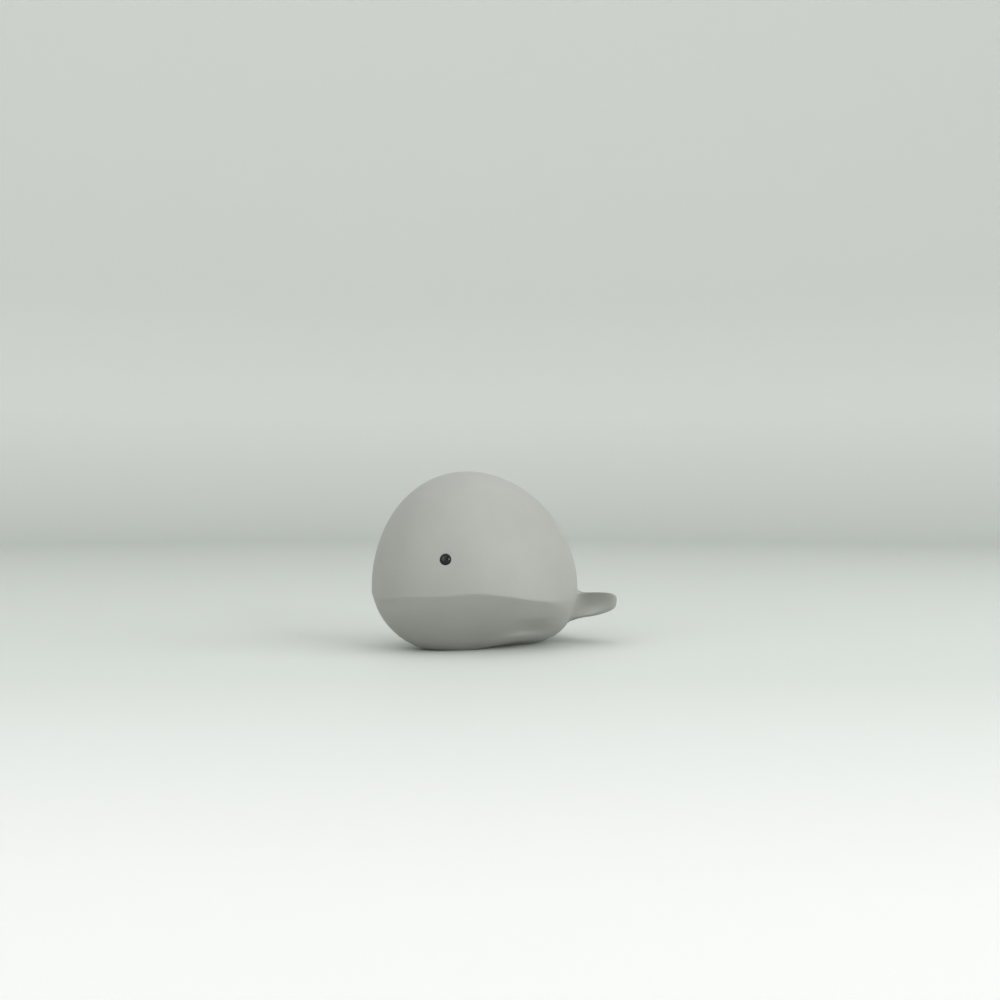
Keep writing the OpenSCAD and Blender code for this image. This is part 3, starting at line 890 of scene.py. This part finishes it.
@dataclass
class EyeBead:
    """Glossy black bead with a rounded front, a stem through the wall and a barb behind it."""

    form: WhaleForm
    socket: EyeSocket
    side: Side
    fit: float = 0.05
    edge_t: float = 0.15
    crown_h: float = 1.2
    stem_r: float = 1.4
    barb_r: float = 1.9
    barb_len: float = 1.8
    edge_round: float = 0.12
    edge_points: int = 5
    front_points: int = 20
    segments: int = 64

    def outline(self) -> np.ndarray:
        """Profile from the barb's end to the front's pole: radius and height above the socket's floor.

        Returns:
            The profile's points.
        """
        r, e = self.socket.bead_r, self.edge_round
        stem = self.form.wall - self.socket.depth + 2 * self.fit
        back = [(self.barb_r, -stem - self.barb_len), (self.stem_r, -stem), (self.stem_r, 0.0), (r - e, 0.0)]
        arc = np.linspace(0, np.pi / 2, self.edge_points)
        low_edge = np.stack([r - e + e * np.sin(arc), e - e * np.cos(arc)], axis=-1)
        rise = np.linspace(0, np.pi / 2, self.front_points)[:-1]
        front = np.stack([r * np.cos(rise), self.edge_t + self.crown_h * np.sin(rise)], axis=-1)
        return np.concatenate([np.array(back[:3]), low_edge, front])

    def build(self) -> bpy.types.Object:
        """Turns the profile about the socket's axis and closes it at both ends.

        Returns:
            The bead.
        """
        place, out, _ = self.socket.axes(self.form, self.side)
        seat = place - (self.socket.depth - self.fit) * out
        across = np.cross([0.0, 0.0, 1.0], out)
        across /= np.linalg.norm(across)
        up = np.cross(out, across)
        profile = self.outline()[::-1]
        turn = np.linspace(0, 2 * np.pi, self.segments, endpoint=False)[:, None]
        around = np.cos(turn) * across + np.sin(turn) * up
        rings = seat + profile[:, 0, None, None] * around + profile[:, 1, None, None] * out
        plan = MeshPlan()
        front = plan.add(seat + (self.edge_t + self.crown_h) * out)
        back = plan.add(seat + profile[-1, 1] * out)
        numbers = plan.add(rings)
        plan.skin(numbers)
        plan.cap(numbers[0], front, pole_first=True)
        plan.cap(numbers[-1], back, pole_first=False)
        return plan.build(f"{self.side.name.lower()}_eye_bead")


@dataclass
class Squeaker:
    """Turned plastic parts of the squeaker, on one vertical axis through the belly's floor."""

    centre: np.ndarray
    flange_bottom: float = 0.6
    flange_top: float = 2.0
    flange_r: float = 10.4
    neck_r: float = 8.0
    neck_top: float = 6.2
    snap_r: float = 8.35
    snap_h: float = 0.6
    spigot_r: float = 5.2
    spigot_top: float = 10.0
    guard_r: float = 6.35
    guard_t: float = 1.0
    guard_clearance: float = 0.1
    fit: float = 0.05
    collar_z: float = 4.65
    collar_t: float = 1.5
    collar_r: float = 11.5
    tube_collar_z: float = 2.2
    tube_collar_r: float = 3.9
    tube_z: float = 3.2
    tube_r: float = 3.25
    tube_in_r: float = 2.5
    tube_len: float = 15.8
    hole_r: float = 0.9
    hole_ring_r: float = 3.6
    holes: int = 6
    hub_share: float = 0.4
    guard_rim: float = 0.7
    sector_points: int = 12
    face_shares: tuple[float, ...] = (0, 0.35, 0.7)
    edge_points: int = 4
    soft_edge: float = 0.28

    def housing(self) -> bpy.types.Object:
        """Flanged bush with a snap lip and a spigot.

        Returns:
            The bush.
        """
        recess_r, seat_r, bore_r = (r + c for r, c in (
            (self.guard_r, self.guard_clearance), (self.tube_collar_r, self.fit), (self.tube_r, self.fit)))
        snap_top = self.neck_top + self.snap_h
        return turned("squeaker_bush", self.centre, rounded([
            (recess_r, self.flange_bottom), (self.flange_r, self.flange_bottom),
            (self.flange_r, self.flange_top), (self.neck_r, self.flange_top),
            (self.neck_r, self.neck_top), (self.snap_r, self.neck_top),
            (self.snap_r, snap_top), (self.spigot_r, snap_top), (self.spigot_r, self.spigot_top),
            (bore_r, self.spigot_top), (bore_r, self.tube_z + self.fit), (seat_r, self.tube_z + self.fit),
            (seat_r, self.flange_top), (recess_r, self.flange_top),
        ], self.soft_edge))

    def collar(self) -> bpy.types.Object:
        """Ring that holds the bush from inside the belly.

        Returns:
            The ring.
        """
        low, high, bore = self.collar_z, self.collar_z + self.collar_t, self.neck_r + self.fit
        corners = [(bore, low), (self.collar_r, low), (self.collar_r, high), (bore, high)]
        return turned("holding_ring", self.centre, rounded(corners, self.soft_edge))

    def whistle(self) -> bpy.types.Object:
        """Tube with a collar at its foot.

        Returns:
            The tube.
        """
        top = self.tube_z + self.tube_len
        return turned("whistle_pipe", self.centre, rounded([
            (self.tube_in_r, self.tube_collar_z), (self.tube_collar_r, self.tube_collar_z),
            (self.tube_collar_r, self.tube_z), (self.tube_r, self.tube_z), (self.tube_r, top),
            (self.tube_in_r, top),
        ], self.soft_edge / 2))

    def guard(self) -> bpy.types.Object:
        """Disc with round air holes: each lies in its own sector, whose edge runs in rings to the hole.

        Returns:
            The disc.
        """
        low = self.flange_top - self.fit - self.guard_t
        high = low + self.guard_t
        inner_r, outer_r = self.hub_share * self.hole_ring_r, self.guard_r - self.guard_rim
        n, e = self.sector_points, self.soft_edge / 2
        half = np.pi / self.holes
        plan = MeshPlan()
        share = np.linspace(0, 1, n + 1)[:-1]
        radius = np.concatenate([np.full(n, outer_r), outer_r + (inner_r - outer_r) * share,
                                 np.full(n, inner_r), inner_r + (outer_r - inner_r) * share])
        swing = half * np.concatenate([1 - 2 * share, np.full(n, -1.0), 2 * share - 1, np.full(n, 1.0)])
        arc = np.linspace(0, np.pi / 2, self.edge_points)
        drops = [(e * (1 - np.sin(t)), e * (1 - np.cos(t))) for t in arc]
        for k in range(self.holes):
            middle = 2 * half * k
            edge = np.stack([radius * np.cos(swing + middle), radius * np.sin(swing + middle)], axis=-1)
            hub = self.hole_ring_r * np.array([np.cos(middle), np.sin(middle)])
            ray = edge - hub
            ray /= np.linalg.norm(ray, axis=1, keepdims=True)
            rim = hub + (self.hole_r + e) * ray
            top = [(edge + (rim - edge) * s, 0.0) for s in self.face_shares]
            top += [(hub + (self.hole_r + wide) * ray, deep) for wide, deep in drops]
            rows = [np.column_stack([f, np.full(len(f), high - deep)]) for f, deep in top]
            rows += [np.column_stack([f, np.full(len(f), low + deep)]) for f, deep in reversed(top)]
            plan.skin(plan.add(self.centre + np.array(rows)))
        turn = half + np.linspace(0, 2 * np.pi, n * self.holes, endpoint=False)

        def ring(r: float, z: float) -> np.ndarray:
            """Circle of the disc at a radius and a height."""
            circle = np.stack([r * np.cos(turn), r * np.sin(turn), np.full_like(turn, z)], axis=-1)
            return self.centre + circle

        rim_rows = [ring(outer_r, high)]
        rim_rows += [ring(self.guard_r - e * (1 - np.sin(t)), high - e * (1 - np.cos(t))) for t in arc]
        rim_rows += [ring(self.guard_r - e * (1 - np.cos(t)), low + e * (1 - np.sin(t))) for t in arc]
        rim_rows += [ring(outer_r, low)]
        plan.skin(plan.add(np.array(rim_rows)))
        middle_top = plan.add(np.array([ring(inner_r / 2, high), ring(inner_r, high)]))
        middle_low = plan.add(np.array([ring(inner_r, low), ring(inner_r / 2, low)]))
        plan.skin(middle_top)
        plan.skin(middle_low)
        plan.cap(middle_top[0], plan.add(self.centre + np.array([0, 0, high])), pole_first=True)
        plan.cap(middle_low[-1], plan.add(self.centre + np.array([0, 0, low])), pole_first=False)
        return plan.build("air_guard", weld=True)


@dataclass
class Reed:
    """Springy strip of the whistle: straight in its clamp, then standing a little off its channel."""

    centre: np.ndarray
    width: float = 3.0
    thickness: float = 0.12
    length: float = 13.0
    foot_z: float = 3.4
    clamp_z: float = 8.0
    open_angle: float = 2.5
    start_round: float = 0.3
    bend_length: float = 1.7
    edge: float = 0.03
    edge_points: int = 4
    rows: int = 48

    def section(self) -> np.ndarray:
        """Flat rectangle with rounded edges: x and y, anticlockwise.

        Returns:
            The section's points.
        """
        corner = np.linspace(0, np.pi / 2, self.edge_points)
        turn = np.concatenate([corner + k * np.pi / 2 for k in range(4)])
        side_x = np.repeat([1, -1, -1, 1], len(corner))
        side_y = np.repeat([1, 1, -1, -1], len(corner))
        return np.stack([side_x * (self.width / 2 - self.edge) + self.edge * np.cos(turn),
                         side_y * (self.thickness / 2 - self.edge) + self.edge * np.sin(turn)], axis=-1)

    def build(self) -> bpy.types.Object:
        """Closed strip, from its tip down: it leaves the clamp on a hyperbola that ends at the open angle.

        Returns:
            The strip.
        """
        along = np.linspace(self.length, 0, self.rows)
        free = np.maximum(along - (self.clamp_z - self.foot_z), 0)
        lean = math.radians(self.open_angle)
        off = math.sin(lean) * (np.hypot(free, self.start_round) - self.start_round)
        z = self.foot_z + along - free * (1 - math.cos(lean))
        line = self.centre + np.stack([0 * z, off, z], axis=-1)
        section = self.section()
        plan = MeshPlan()
        rings = plan.add(line[:, None] + np.column_stack([section, np.zeros(len(section))]))
        plan.skin(rings)
        plan.cap(rings[0], plan.add(line[0]), pole_first=True)
        plan.cap(rings[-1], plan.add(line[-1]), pole_first=False)
        return plan.build("springy_reed")

    def bend(self, piece: bpy.types.Object) -> None:
        """Bakes the strip's placement into its mesh.

        Args:
            piece: the strip.
        """
        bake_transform(piece)


class Nodes:
    """Short way to lay out a material's nodes."""

    def __init__(self, name: str) -> None:
        """Starts a material with a Principled shader and Object coordinates.

        Args:
            name: the material's name.
        """
        self.material = bpy.data.materials.new(name)
        self.material.use_nodes = True
        self.tree = self.material.node_tree
        self.shader = self.tree.nodes["Principled BSDF"]
        self.place = self.add("ShaderNodeTexCoord").outputs["Object"]

    def add(self, kind: str, **settings: object) -> bpy.types.Node:
        """Adds a node of a kind, with its own properties set.

        Args:
            kind: the node's type.
            settings: properties of the node and their values.

        Returns:
            The node.
        """
        node = self.tree.nodes.new(kind)
        for key, value in settings.items():
            setattr(node, key, value)
        return node

    def join(self, source: bpy.types.NodeSocket, target: bpy.types.NodeSocket) -> None:
        """Links two sockets."""
        self.tree.links.new(source, target)

    def noise(self, scale: float, detail: float = 2.0, roughness: float = 0.5) -> bpy.types.NodeSocket:
        """Noise of the object's own coordinates, about 1 / scale metres across.

        Args:
            scale: how many times it repeats in a metre.
            detail: how many finer layers it has.
            roughness: how strong the finer layers are.

        Returns:
            The noise's value.
        """
        node = self.add("ShaderNodeTexNoise")
        self.join(self.place, node.inputs["Vector"])
        node.inputs["Scale"].default_value = scale
        node.inputs["Detail"].default_value = detail
        node.inputs["Roughness"].default_value = roughness
        return node.outputs["Fac"]

    def spread(self, source: bpy.types.NodeSocket, low: float, high: float, start: float = 0.3,
               end: float = 0.7) -> bpy.types.NodeSocket:
        """Maps a value from start..end to low..high, held at both ends.

        Args:
            source: the value to map.
            low: result at the start.
            high: result at the end.
            start: value that gives low.
            end: value that gives high.

        Returns:
            The mapped value.
        """
        node = self.add("ShaderNodeMapRange")
        self.join(source, node.inputs["Value"])
        for key, value in (("From Min", start), ("From Max", end), ("To Min", low), ("To Max", high)):
            node.inputs[key].default_value = value
        return node.outputs["Result"]

    def tint(self, share: bpy.types.NodeSocket, first: bpy.types.NodeSocket | tuple[float, ...],
             second: tuple[float, ...]) -> bpy.types.NodeSocket:
        """Mixes two colours by a share from 0 to 1.

        Args:
            share: the share of the second colour.
            first: a colour, or the socket of one.
            second: the other colour.

        Returns:
            The mixed colour.
        """
        node = self.add("ShaderNodeMix", data_type="RGBA")
        self.join(share, node.inputs["Factor"])
        # Inputs 6 and 7 and output 2 are this node's colour sockets.
        if isinstance(first, bpy.types.NodeSocket):
            self.join(first, node.inputs[6])
        else:
            node.inputs[6].default_value = (*first, 1)
        node.inputs[7].default_value = (*second, 1)
        return node.outputs[2]

    def relief(self, layers: list[tuple[bpy.types.NodeSocket, float]]) -> None:
        """Chains bumps, each a height socket and its height in metres, into the shader's normal.

        Args:
            layers: the bumps, coarse ones first.
        """
        previous = None
        for height, distance in layers:
            node = self.add("ShaderNodeBump")
            node.inputs["Distance"].default_value = distance
            self.join(height, node.inputs["Height"])
            if previous is not None:
                self.join(previous, node.inputs["Normal"])
            previous = node.outputs["Normal"]
        self.join(previous, self.shader.inputs["Normal"])


@dataclass(frozen=True)
class RubberFinish:
    """Satin moulded rubber: a slightly blotchy grey with a fine grain and a soft sheen."""

    name: str = "satin_rubber"
    base: tuple[float, float, float] = (0.450, 0.456, 0.425)
    cool: tuple[float, float, float] = (0.415, 0.428, 0.395)
    dust: tuple[float, float, float] = (0.520, 0.525, 0.495)
    smoothest: float = 0.47
    roughest: float = 0.59
    gloss: float = 0.42
    sheen: float = 0.12
    sheen_roughness: float = 0.5
    ripple_height: float = 0.00010
    grain_height: float = 0.000012

    def material(self) -> bpy.types.Material:
        """Builds the node tree.

        Returns:
            The material.
        """
        n = Nodes(self.name)
        blotches = n.spread(n.noise(scale=34, detail=3, roughness=0.55), low=0, high=1)
        colour = n.tint(blotches, self.base, self.cool)
        specks = n.noise(scale=1500, detail=1, roughness=0.4)
        specks = n.spread(specks, low=0, high=0.5, start=0.68, end=0.8)
        colour = n.tint(specks, colour, self.dust)
        n.join(colour, n.shader.inputs["Base Color"])
        wear = n.noise(scale=120, detail=4, roughness=0.6)
        n.join(n.spread(wear, low=self.smoothest, high=self.roughest), n.shader.inputs["Roughness"])
        n.shader.inputs["Specular IOR Level"].default_value = self.gloss
        n.shader.inputs["Sheen Weight"].default_value = self.sheen
        n.shader.inputs["Sheen Roughness"].default_value = self.sheen_roughness
        ripple, grain = n.noise(scale=95, detail=2), n.noise(scale=1400, detail=3, roughness=0.6)
        n.relief([(ripple, self.ripple_height), (grain, self.grain_height)])
        return n.material


@dataclass(frozen=True)
class BeadFinish:
    """Glossy black plastic with faint handling marks."""

    name: str = "black_bead"
    base: tuple[float, float, float] = (0.006, 0.006, 0.007)
    mark: tuple[float, float, float] = (0.014, 0.014, 0.015)
    gloss: float = 0.35
    grain_height: float = 0.00001

    def material(self) -> bpy.types.Material:
        """Builds the node tree.

        Returns:
            The material.
        """
        n = Nodes(self.name)
        marks = n.spread(n.noise(scale=900, detail=3), low=0, high=0.6)
        n.join(n.tint(marks, self.base, self.mark), n.shader.inputs["Base Color"])
        n.join(n.spread(n.noise(scale=1300), low=0.06, high=0.12), n.shader.inputs["Roughness"])
        n.shader.inputs["Specular IOR Level"].default_value = self.gloss
        n.relief([(n.noise(scale=700), self.grain_height)])
        return n.material


@dataclass(frozen=True)
class PlasticFinish:
    """Moulded plastic with a fine spark-eroded grain and a slight yellowing."""

    name: str
    base: tuple[float, float, float]
    aged: tuple[float, float, float]
    smoothest: float = 0.36
    roughest: float = 0.50
    grain_height: float = 0.000008

    def material(self) -> bpy.types.Material:
        """Builds the node tree.

        Returns:
            The material.
        """
        n = Nodes(self.name)
        ageing = n.spread(n.noise(scale=160, detail=3), low=0, high=1)
        n.join(n.tint(ageing, self.base, self.aged), n.shader.inputs["Base Color"])
        wear = n.noise(scale=600, detail=3)
        n.join(n.spread(wear, low=self.smoothest, high=self.roughest), n.shader.inputs["Roughness"])
        n.relief([(n.noise(scale=2600), self.grain_height)])
        return n.material


@dataclass(frozen=True)
class StripFinish:
    """Thin rolled metal with fine marks along its length."""

    name: str = "reed_strip"
    base: tuple[float, float, float] = (0.78, 0.60, 0.28)
    worn: tuple[float, float, float] = (0.62, 0.46, 0.20)
    grain_stretch: tuple[float, float, float] = (1, 1, 0.05)
    grain_height: float = 0.000002

    def material(self) -> bpy.types.Material:
        """Builds the node tree.

        Returns:
            The material.
        """
        n = Nodes(self.name)
        stretch = n.add("ShaderNodeMapping")
        stretch.inputs["Scale"].default_value = self.grain_stretch
        n.join(n.place, stretch.inputs["Vector"])
        n.place = stretch.outputs["Vector"]
        grain = n.noise(scale=4000)
        n.join(n.tint(n.spread(grain, low=0, high=1), self.base, self.worn), n.shader.inputs["Base Color"])
        n.join(n.spread(grain, low=0.22, high=0.36), n.shader.inputs["Roughness"])
        n.shader.inputs["Metallic"].default_value = 1.0
        n.relief([(grain, self.grain_height)])
        return n.material


@dataclass(frozen=True)
class Lamp:
    """Square area lamp that looks at the toy.

    It stands a number of degrees aside from the camera, to the right, and rises above the floor by
    others. Its power is in watts, and its distance, its size and the height that it aims at in metres.
    """

    name: str
    aside: float
    rise: float
    power: float
    size: float = 1.2
    distance: float = 1.5
    aim_z: float = 0.04

    def build(self, view_turn: float) -> None:
        """Makes the lamp.

        Args:
            view_turn: how far round from the flank the camera stands, in degrees.
        """
        data = bpy.data.lights.new(self.name, "AREA")
        data.size = self.size
        data.energy = self.power
        lamp = bpy.data.objects.new(self.name, data)
        turn, up = math.radians(view_turn - self.aside), math.radians(self.rise)
        away = np.array([-math.sin(turn) * math.cos(up), -math.cos(turn) * math.cos(up), math.sin(up)])
        lamp.location = (self.distance * away).tolist()
        lamp.rotation_mode = "QUATERNION"
        aim = Vector((np.array([0, 0, self.aim_z]) - self.distance * away).tolist())
        lamp.rotation_quaternion = aim.to_track_quat("-Z", "Y")
        lamp.visible_camera = False
        bpy.context.scene.collection.objects.link(lamp)


@dataclass
class Studio:
    """Plain pale floor and backdrop, soft lamps, and the camera at the photograph's angle.

    The lamps stand low on the camera's side, the strongest to its right. The middle one is small, to
    put a small bright reflection in the eye.
    """

    form: WhaleForm
    lamps: tuple[Lamp, ...] = (
        Lamp("left_lamp", aside=-40, rise=30, power=6.6),
        Lamp("front_lamp", aside=35, rise=20, power=3.5, size=0.28),
        Lamp("right_lamp", aside=70, rise=20, power=9.6),
    )
    distance: float = 625.0
    eye_level: float = 72.0
    view_turn: float = 34.5
    aside: float = 13.4
    half_frame: float = 500.0
    focal_pixels: float = 1269.0
    sensor_width: float = 36.0
    floor_half: float = 1.6
    floor_start: float = 0.02
    floor_bend: float = 0.5
    wall_height: float = 2.0
    bend_points: int = 16
    floor_columns: int = 96
    floor_colour: tuple[float, float, float] = (0.78, 0.82, 0.78)
    # Painted light: the floor's colour toward the camera, brighter than the floor near the toy.
    painted_light_colour: tuple[float, float, float] = (0.97, 0.98, 0.97)
    front_from: float = -0.12
    front_to: float = -0.40
    wall_colour: tuple[float, float, float] = (0.97, 1.0, 0.96)
    wall_fade: float = 0.25
    bounce_colour: tuple[float, float, float] = (0.45, 0.475, 0.45)
    floor_roughness: float = 0.6
    world_colour: tuple[float, float, float] = (1.0, 1.0, 1.0)
    world_strength: float = 0.855

    def camera(self) -> None:
        """Level camera to the left front of the toy, aimed along the photograph's line of sight."""
        data = bpy.data.cameras.new("view")
        data.sensor_width = self.sensor_width
        data.lens = data.sensor_width / 2 * self.focal_pixels / self.half_frame
        turn = math.radians(self.view_turn)
        ahead = np.array([math.sin(turn), math.cos(turn)])
        right = np.array([math.cos(turn), -math.sin(turn)])
        place = np.array([self.form.middle, 0.0]) + self.aside * right - self.distance * ahead
        camera = bpy.data.objects.new("view", data)
        camera.location = (place[0] * MM, place[1] * MM, self.eye_level * MM)
        camera.rotation_euler = (math.pi / 2, 0, -turn)
        bpy.context.scene.collection.objects.link(camera)
        bpy.context.scene.camera = camera

    def sweep(self) -> None:
        """Floor that curves up into a backdrop all round: a disc, a quarter circle and a wall, turned."""
        r, bend = self.floor_half, self.floor_bend
        arc = np.linspace(0, np.pi / 2, self.bend_points)
        radius = np.concatenate([[self.floor_start, r / 2], r + bend * np.sin(arc), [r + bend]])
        height = np.concatenate([[0, 0], bend * (1 - np.cos(arc)), [self.wall_height]])
        turn = np.linspace(0, 2 * np.pi, self.floor_columns, endpoint=False)
        rows = np.stack([radius[::-1, None] * np.cos(turn), radius[::-1, None] * np.sin(turn),
                         height[::-1, None] + 0 * turn], axis=-1) * METRE
        plan = MeshPlan()
        numbers = plan.add(rows[:, ::-1])
        plan.skin(numbers)
        plan.cap(numbers[-1], plan.add(np.zeros(3)), pole_first=False)
        floor = plan.build("pale_floor")
        floor.data.materials.append(self.backdrop_material())

    def backdrop_material(self) -> bpy.types.Material:
        """Matt pale surface: the floor, brightened toward the camera by painted light, and a wall.

        The camera and glossy surfaces see it in full; the light that it throws on the toy is dimmer.

        Returns:
            The material.
        """
        n = Nodes("pale_backdrop")
        split = n.add("ShaderNodeSeparateXYZ")
        n.join(n.place, split.inputs["Vector"])
        turn = math.radians(self.view_turn)
        ahead = n.add("ShaderNodeVectorMath", operation="DOT_PRODUCT")
        n.join(n.place, ahead.inputs[0])
        ahead.inputs[1].default_value = (math.sin(turn), math.cos(turn), 0)
        # Painted light: the floor's colour brightens from the toy toward the camera.
        painted_light_share = n.spread(ahead.outputs["Value"], low=1, high=0, start=self.front_to, end=self.front_from)
        pale = n.tint(painted_light_share, self.floor_colour, self.painted_light_colour)
        up = n.spread(split.outputs["Z"], low=0, high=1, start=0, end=self.wall_fade)
        pale = n.tint(up, pale, self.wall_colour)
        path = n.add("ShaderNodeLightPath")
        seen = n.add("ShaderNodeMath", operation="MAXIMUM")
        n.join(path.outputs["Is Camera Ray"], seen.inputs[0])
        n.join(path.outputs["Is Glossy Ray"], seen.inputs[1])
        unseen = n.spread(seen.outputs["Value"], low=1, high=0, start=0, end=1)
        n.join(n.tint(unseen, pale, self.bounce_colour), n.shader.inputs["Base Color"])
        n.shader.inputs["Roughness"].default_value = self.floor_roughness
        return n.material

    def light(self) -> None:
        """The lamps and an even world, at a plain level."""
        for lamp in self.lamps:
            lamp.build(self.view_turn)
        world = bpy.data.worlds.new("even")
        world.use_nodes = True
        shade = world.node_tree.nodes["Background"]
        shade.inputs["Color"].default_value = (*self.world_colour, 1)
        shade.inputs["Strength"].default_value = self.world_strength
        bpy.context.scene.world = world
        bpy.context.scene.view_settings.view_transform = "Standard"

    def build(self) -> None:
        """Sets the whole stage."""
        self.camera()
        self.sweep()
        self.light()


@dataclass
class BathToy:
    """The whole toy: builds its pieces, dresses them, and ties them to the bodies."""

    form: WhaleForm = field(default_factory=WhaleForm)

    @property
    def keep(self) -> float:
        """Share of its height that the toy keeps when it is pressed all the way down."""
        squeeze = next(j for j in frame["joints"] if j["name"] == "squeeze")
        return 1 - max(squeeze["range_m"]) * METRE / self.form.height

    def dress(self, piece: bpy.types.Object, material: bpy.types.Material, body: str, node: str) -> None:
        """Gives a new piece its finish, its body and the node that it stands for.

        Args:
            piece: the new piece.
            material: its finish.
            body: the body that it rides on.
            node: the construction's node that it replaces.
        """
        piece.data.materials.append(material)
        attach(piece, body)
        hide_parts(node)
        log.info("%s: %d faces, on %s", piece.name, len(piece.data.polygons), body)

    def flatten(self, piece: bpy.types.Object) -> None:
        """Gives a rubber piece a mesh of its own."""
        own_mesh(piece)

    def shells(self, rubber: bpy.types.Material) -> None:
        """Both rubber shells, each with a mesh of its own.

        Args:
            rubber: their finish.
        """
        dome = UpperShell(self.form).build()
        self.dress(dome, rubber, "dome", "upper_shell")
        self.flatten(dome)
        belly = BellyShell(self.form).build()
        self.dress(belly, rubber, "base", "belly_shell")
        self.flatten(belly)

    def eyes(self, black: bpy.types.Material) -> None:
        """Both bead eyes, which go down with the dome.

        Args:
            black: their finish.
        """
        for side in Side:
            bead = EyeBead(self.form, EyeSocket(), side).build()
            self.dress(bead, black, "dome", f"{side.name.lower()}_eye")
            self.flatten(bead)

    def squeaker(self) -> None:
        """The turned parts of the squeaker, and finishes on the small parts inside its tube."""
        body = PlasticFinish("housing_plastic", (0.70, 0.70, 0.66), (0.66, 0.65, 0.58)).material()
        whistle = PlasticFinish("whistle_plastic", (0.76, 0.75, 0.70), (0.72, 0.70, 0.62),
                                smoothest=0.30, roughest=0.44).material()
        unit = Squeaker(self.form.at_squeaker(BellyShell(self.form).squeaker_forward))
        self.dress(unit.housing(), body, "base", "squeaker_housing")
        self.dress(unit.guard(), body, "base", "squeaker_guard")
        self.dress(unit.collar(), body, "base", "retaining_collar")
        self.dress(unit.whistle(), whistle, "base", "whistle_tube")
        for node in ("reed_carrier", "reed_wedge"):
            part = frame["nodes"][node]
            part.data.materials.clear()
            part.data.materials.append(whistle)
            log.info("%s: kept from the construction, finished", node)
        strip = Reed(unit.centre)
        reed = strip.build()
        reed.data.materials.append(StripFinish().material())
        strip.bend(reed)
        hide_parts("reed")
        log.info("%s: %d faces, between base and reed", reed.name, len(reed.data.polygons))

    def build(self) -> None:
        """Makes every piece."""
        self.shells(RubberFinish().material())
        self.eyes(BeadFinish().material())
        self.squeaker()


def main() -> None:
    """Builds the toy and its stage."""
    logging.basicConfig(level=logging.INFO, format="%(name)s: %(message)s")
    form = WhaleForm()
    Studio(form).build()
    BathToy(form).build()


if __name__ == "__main__":
    main()
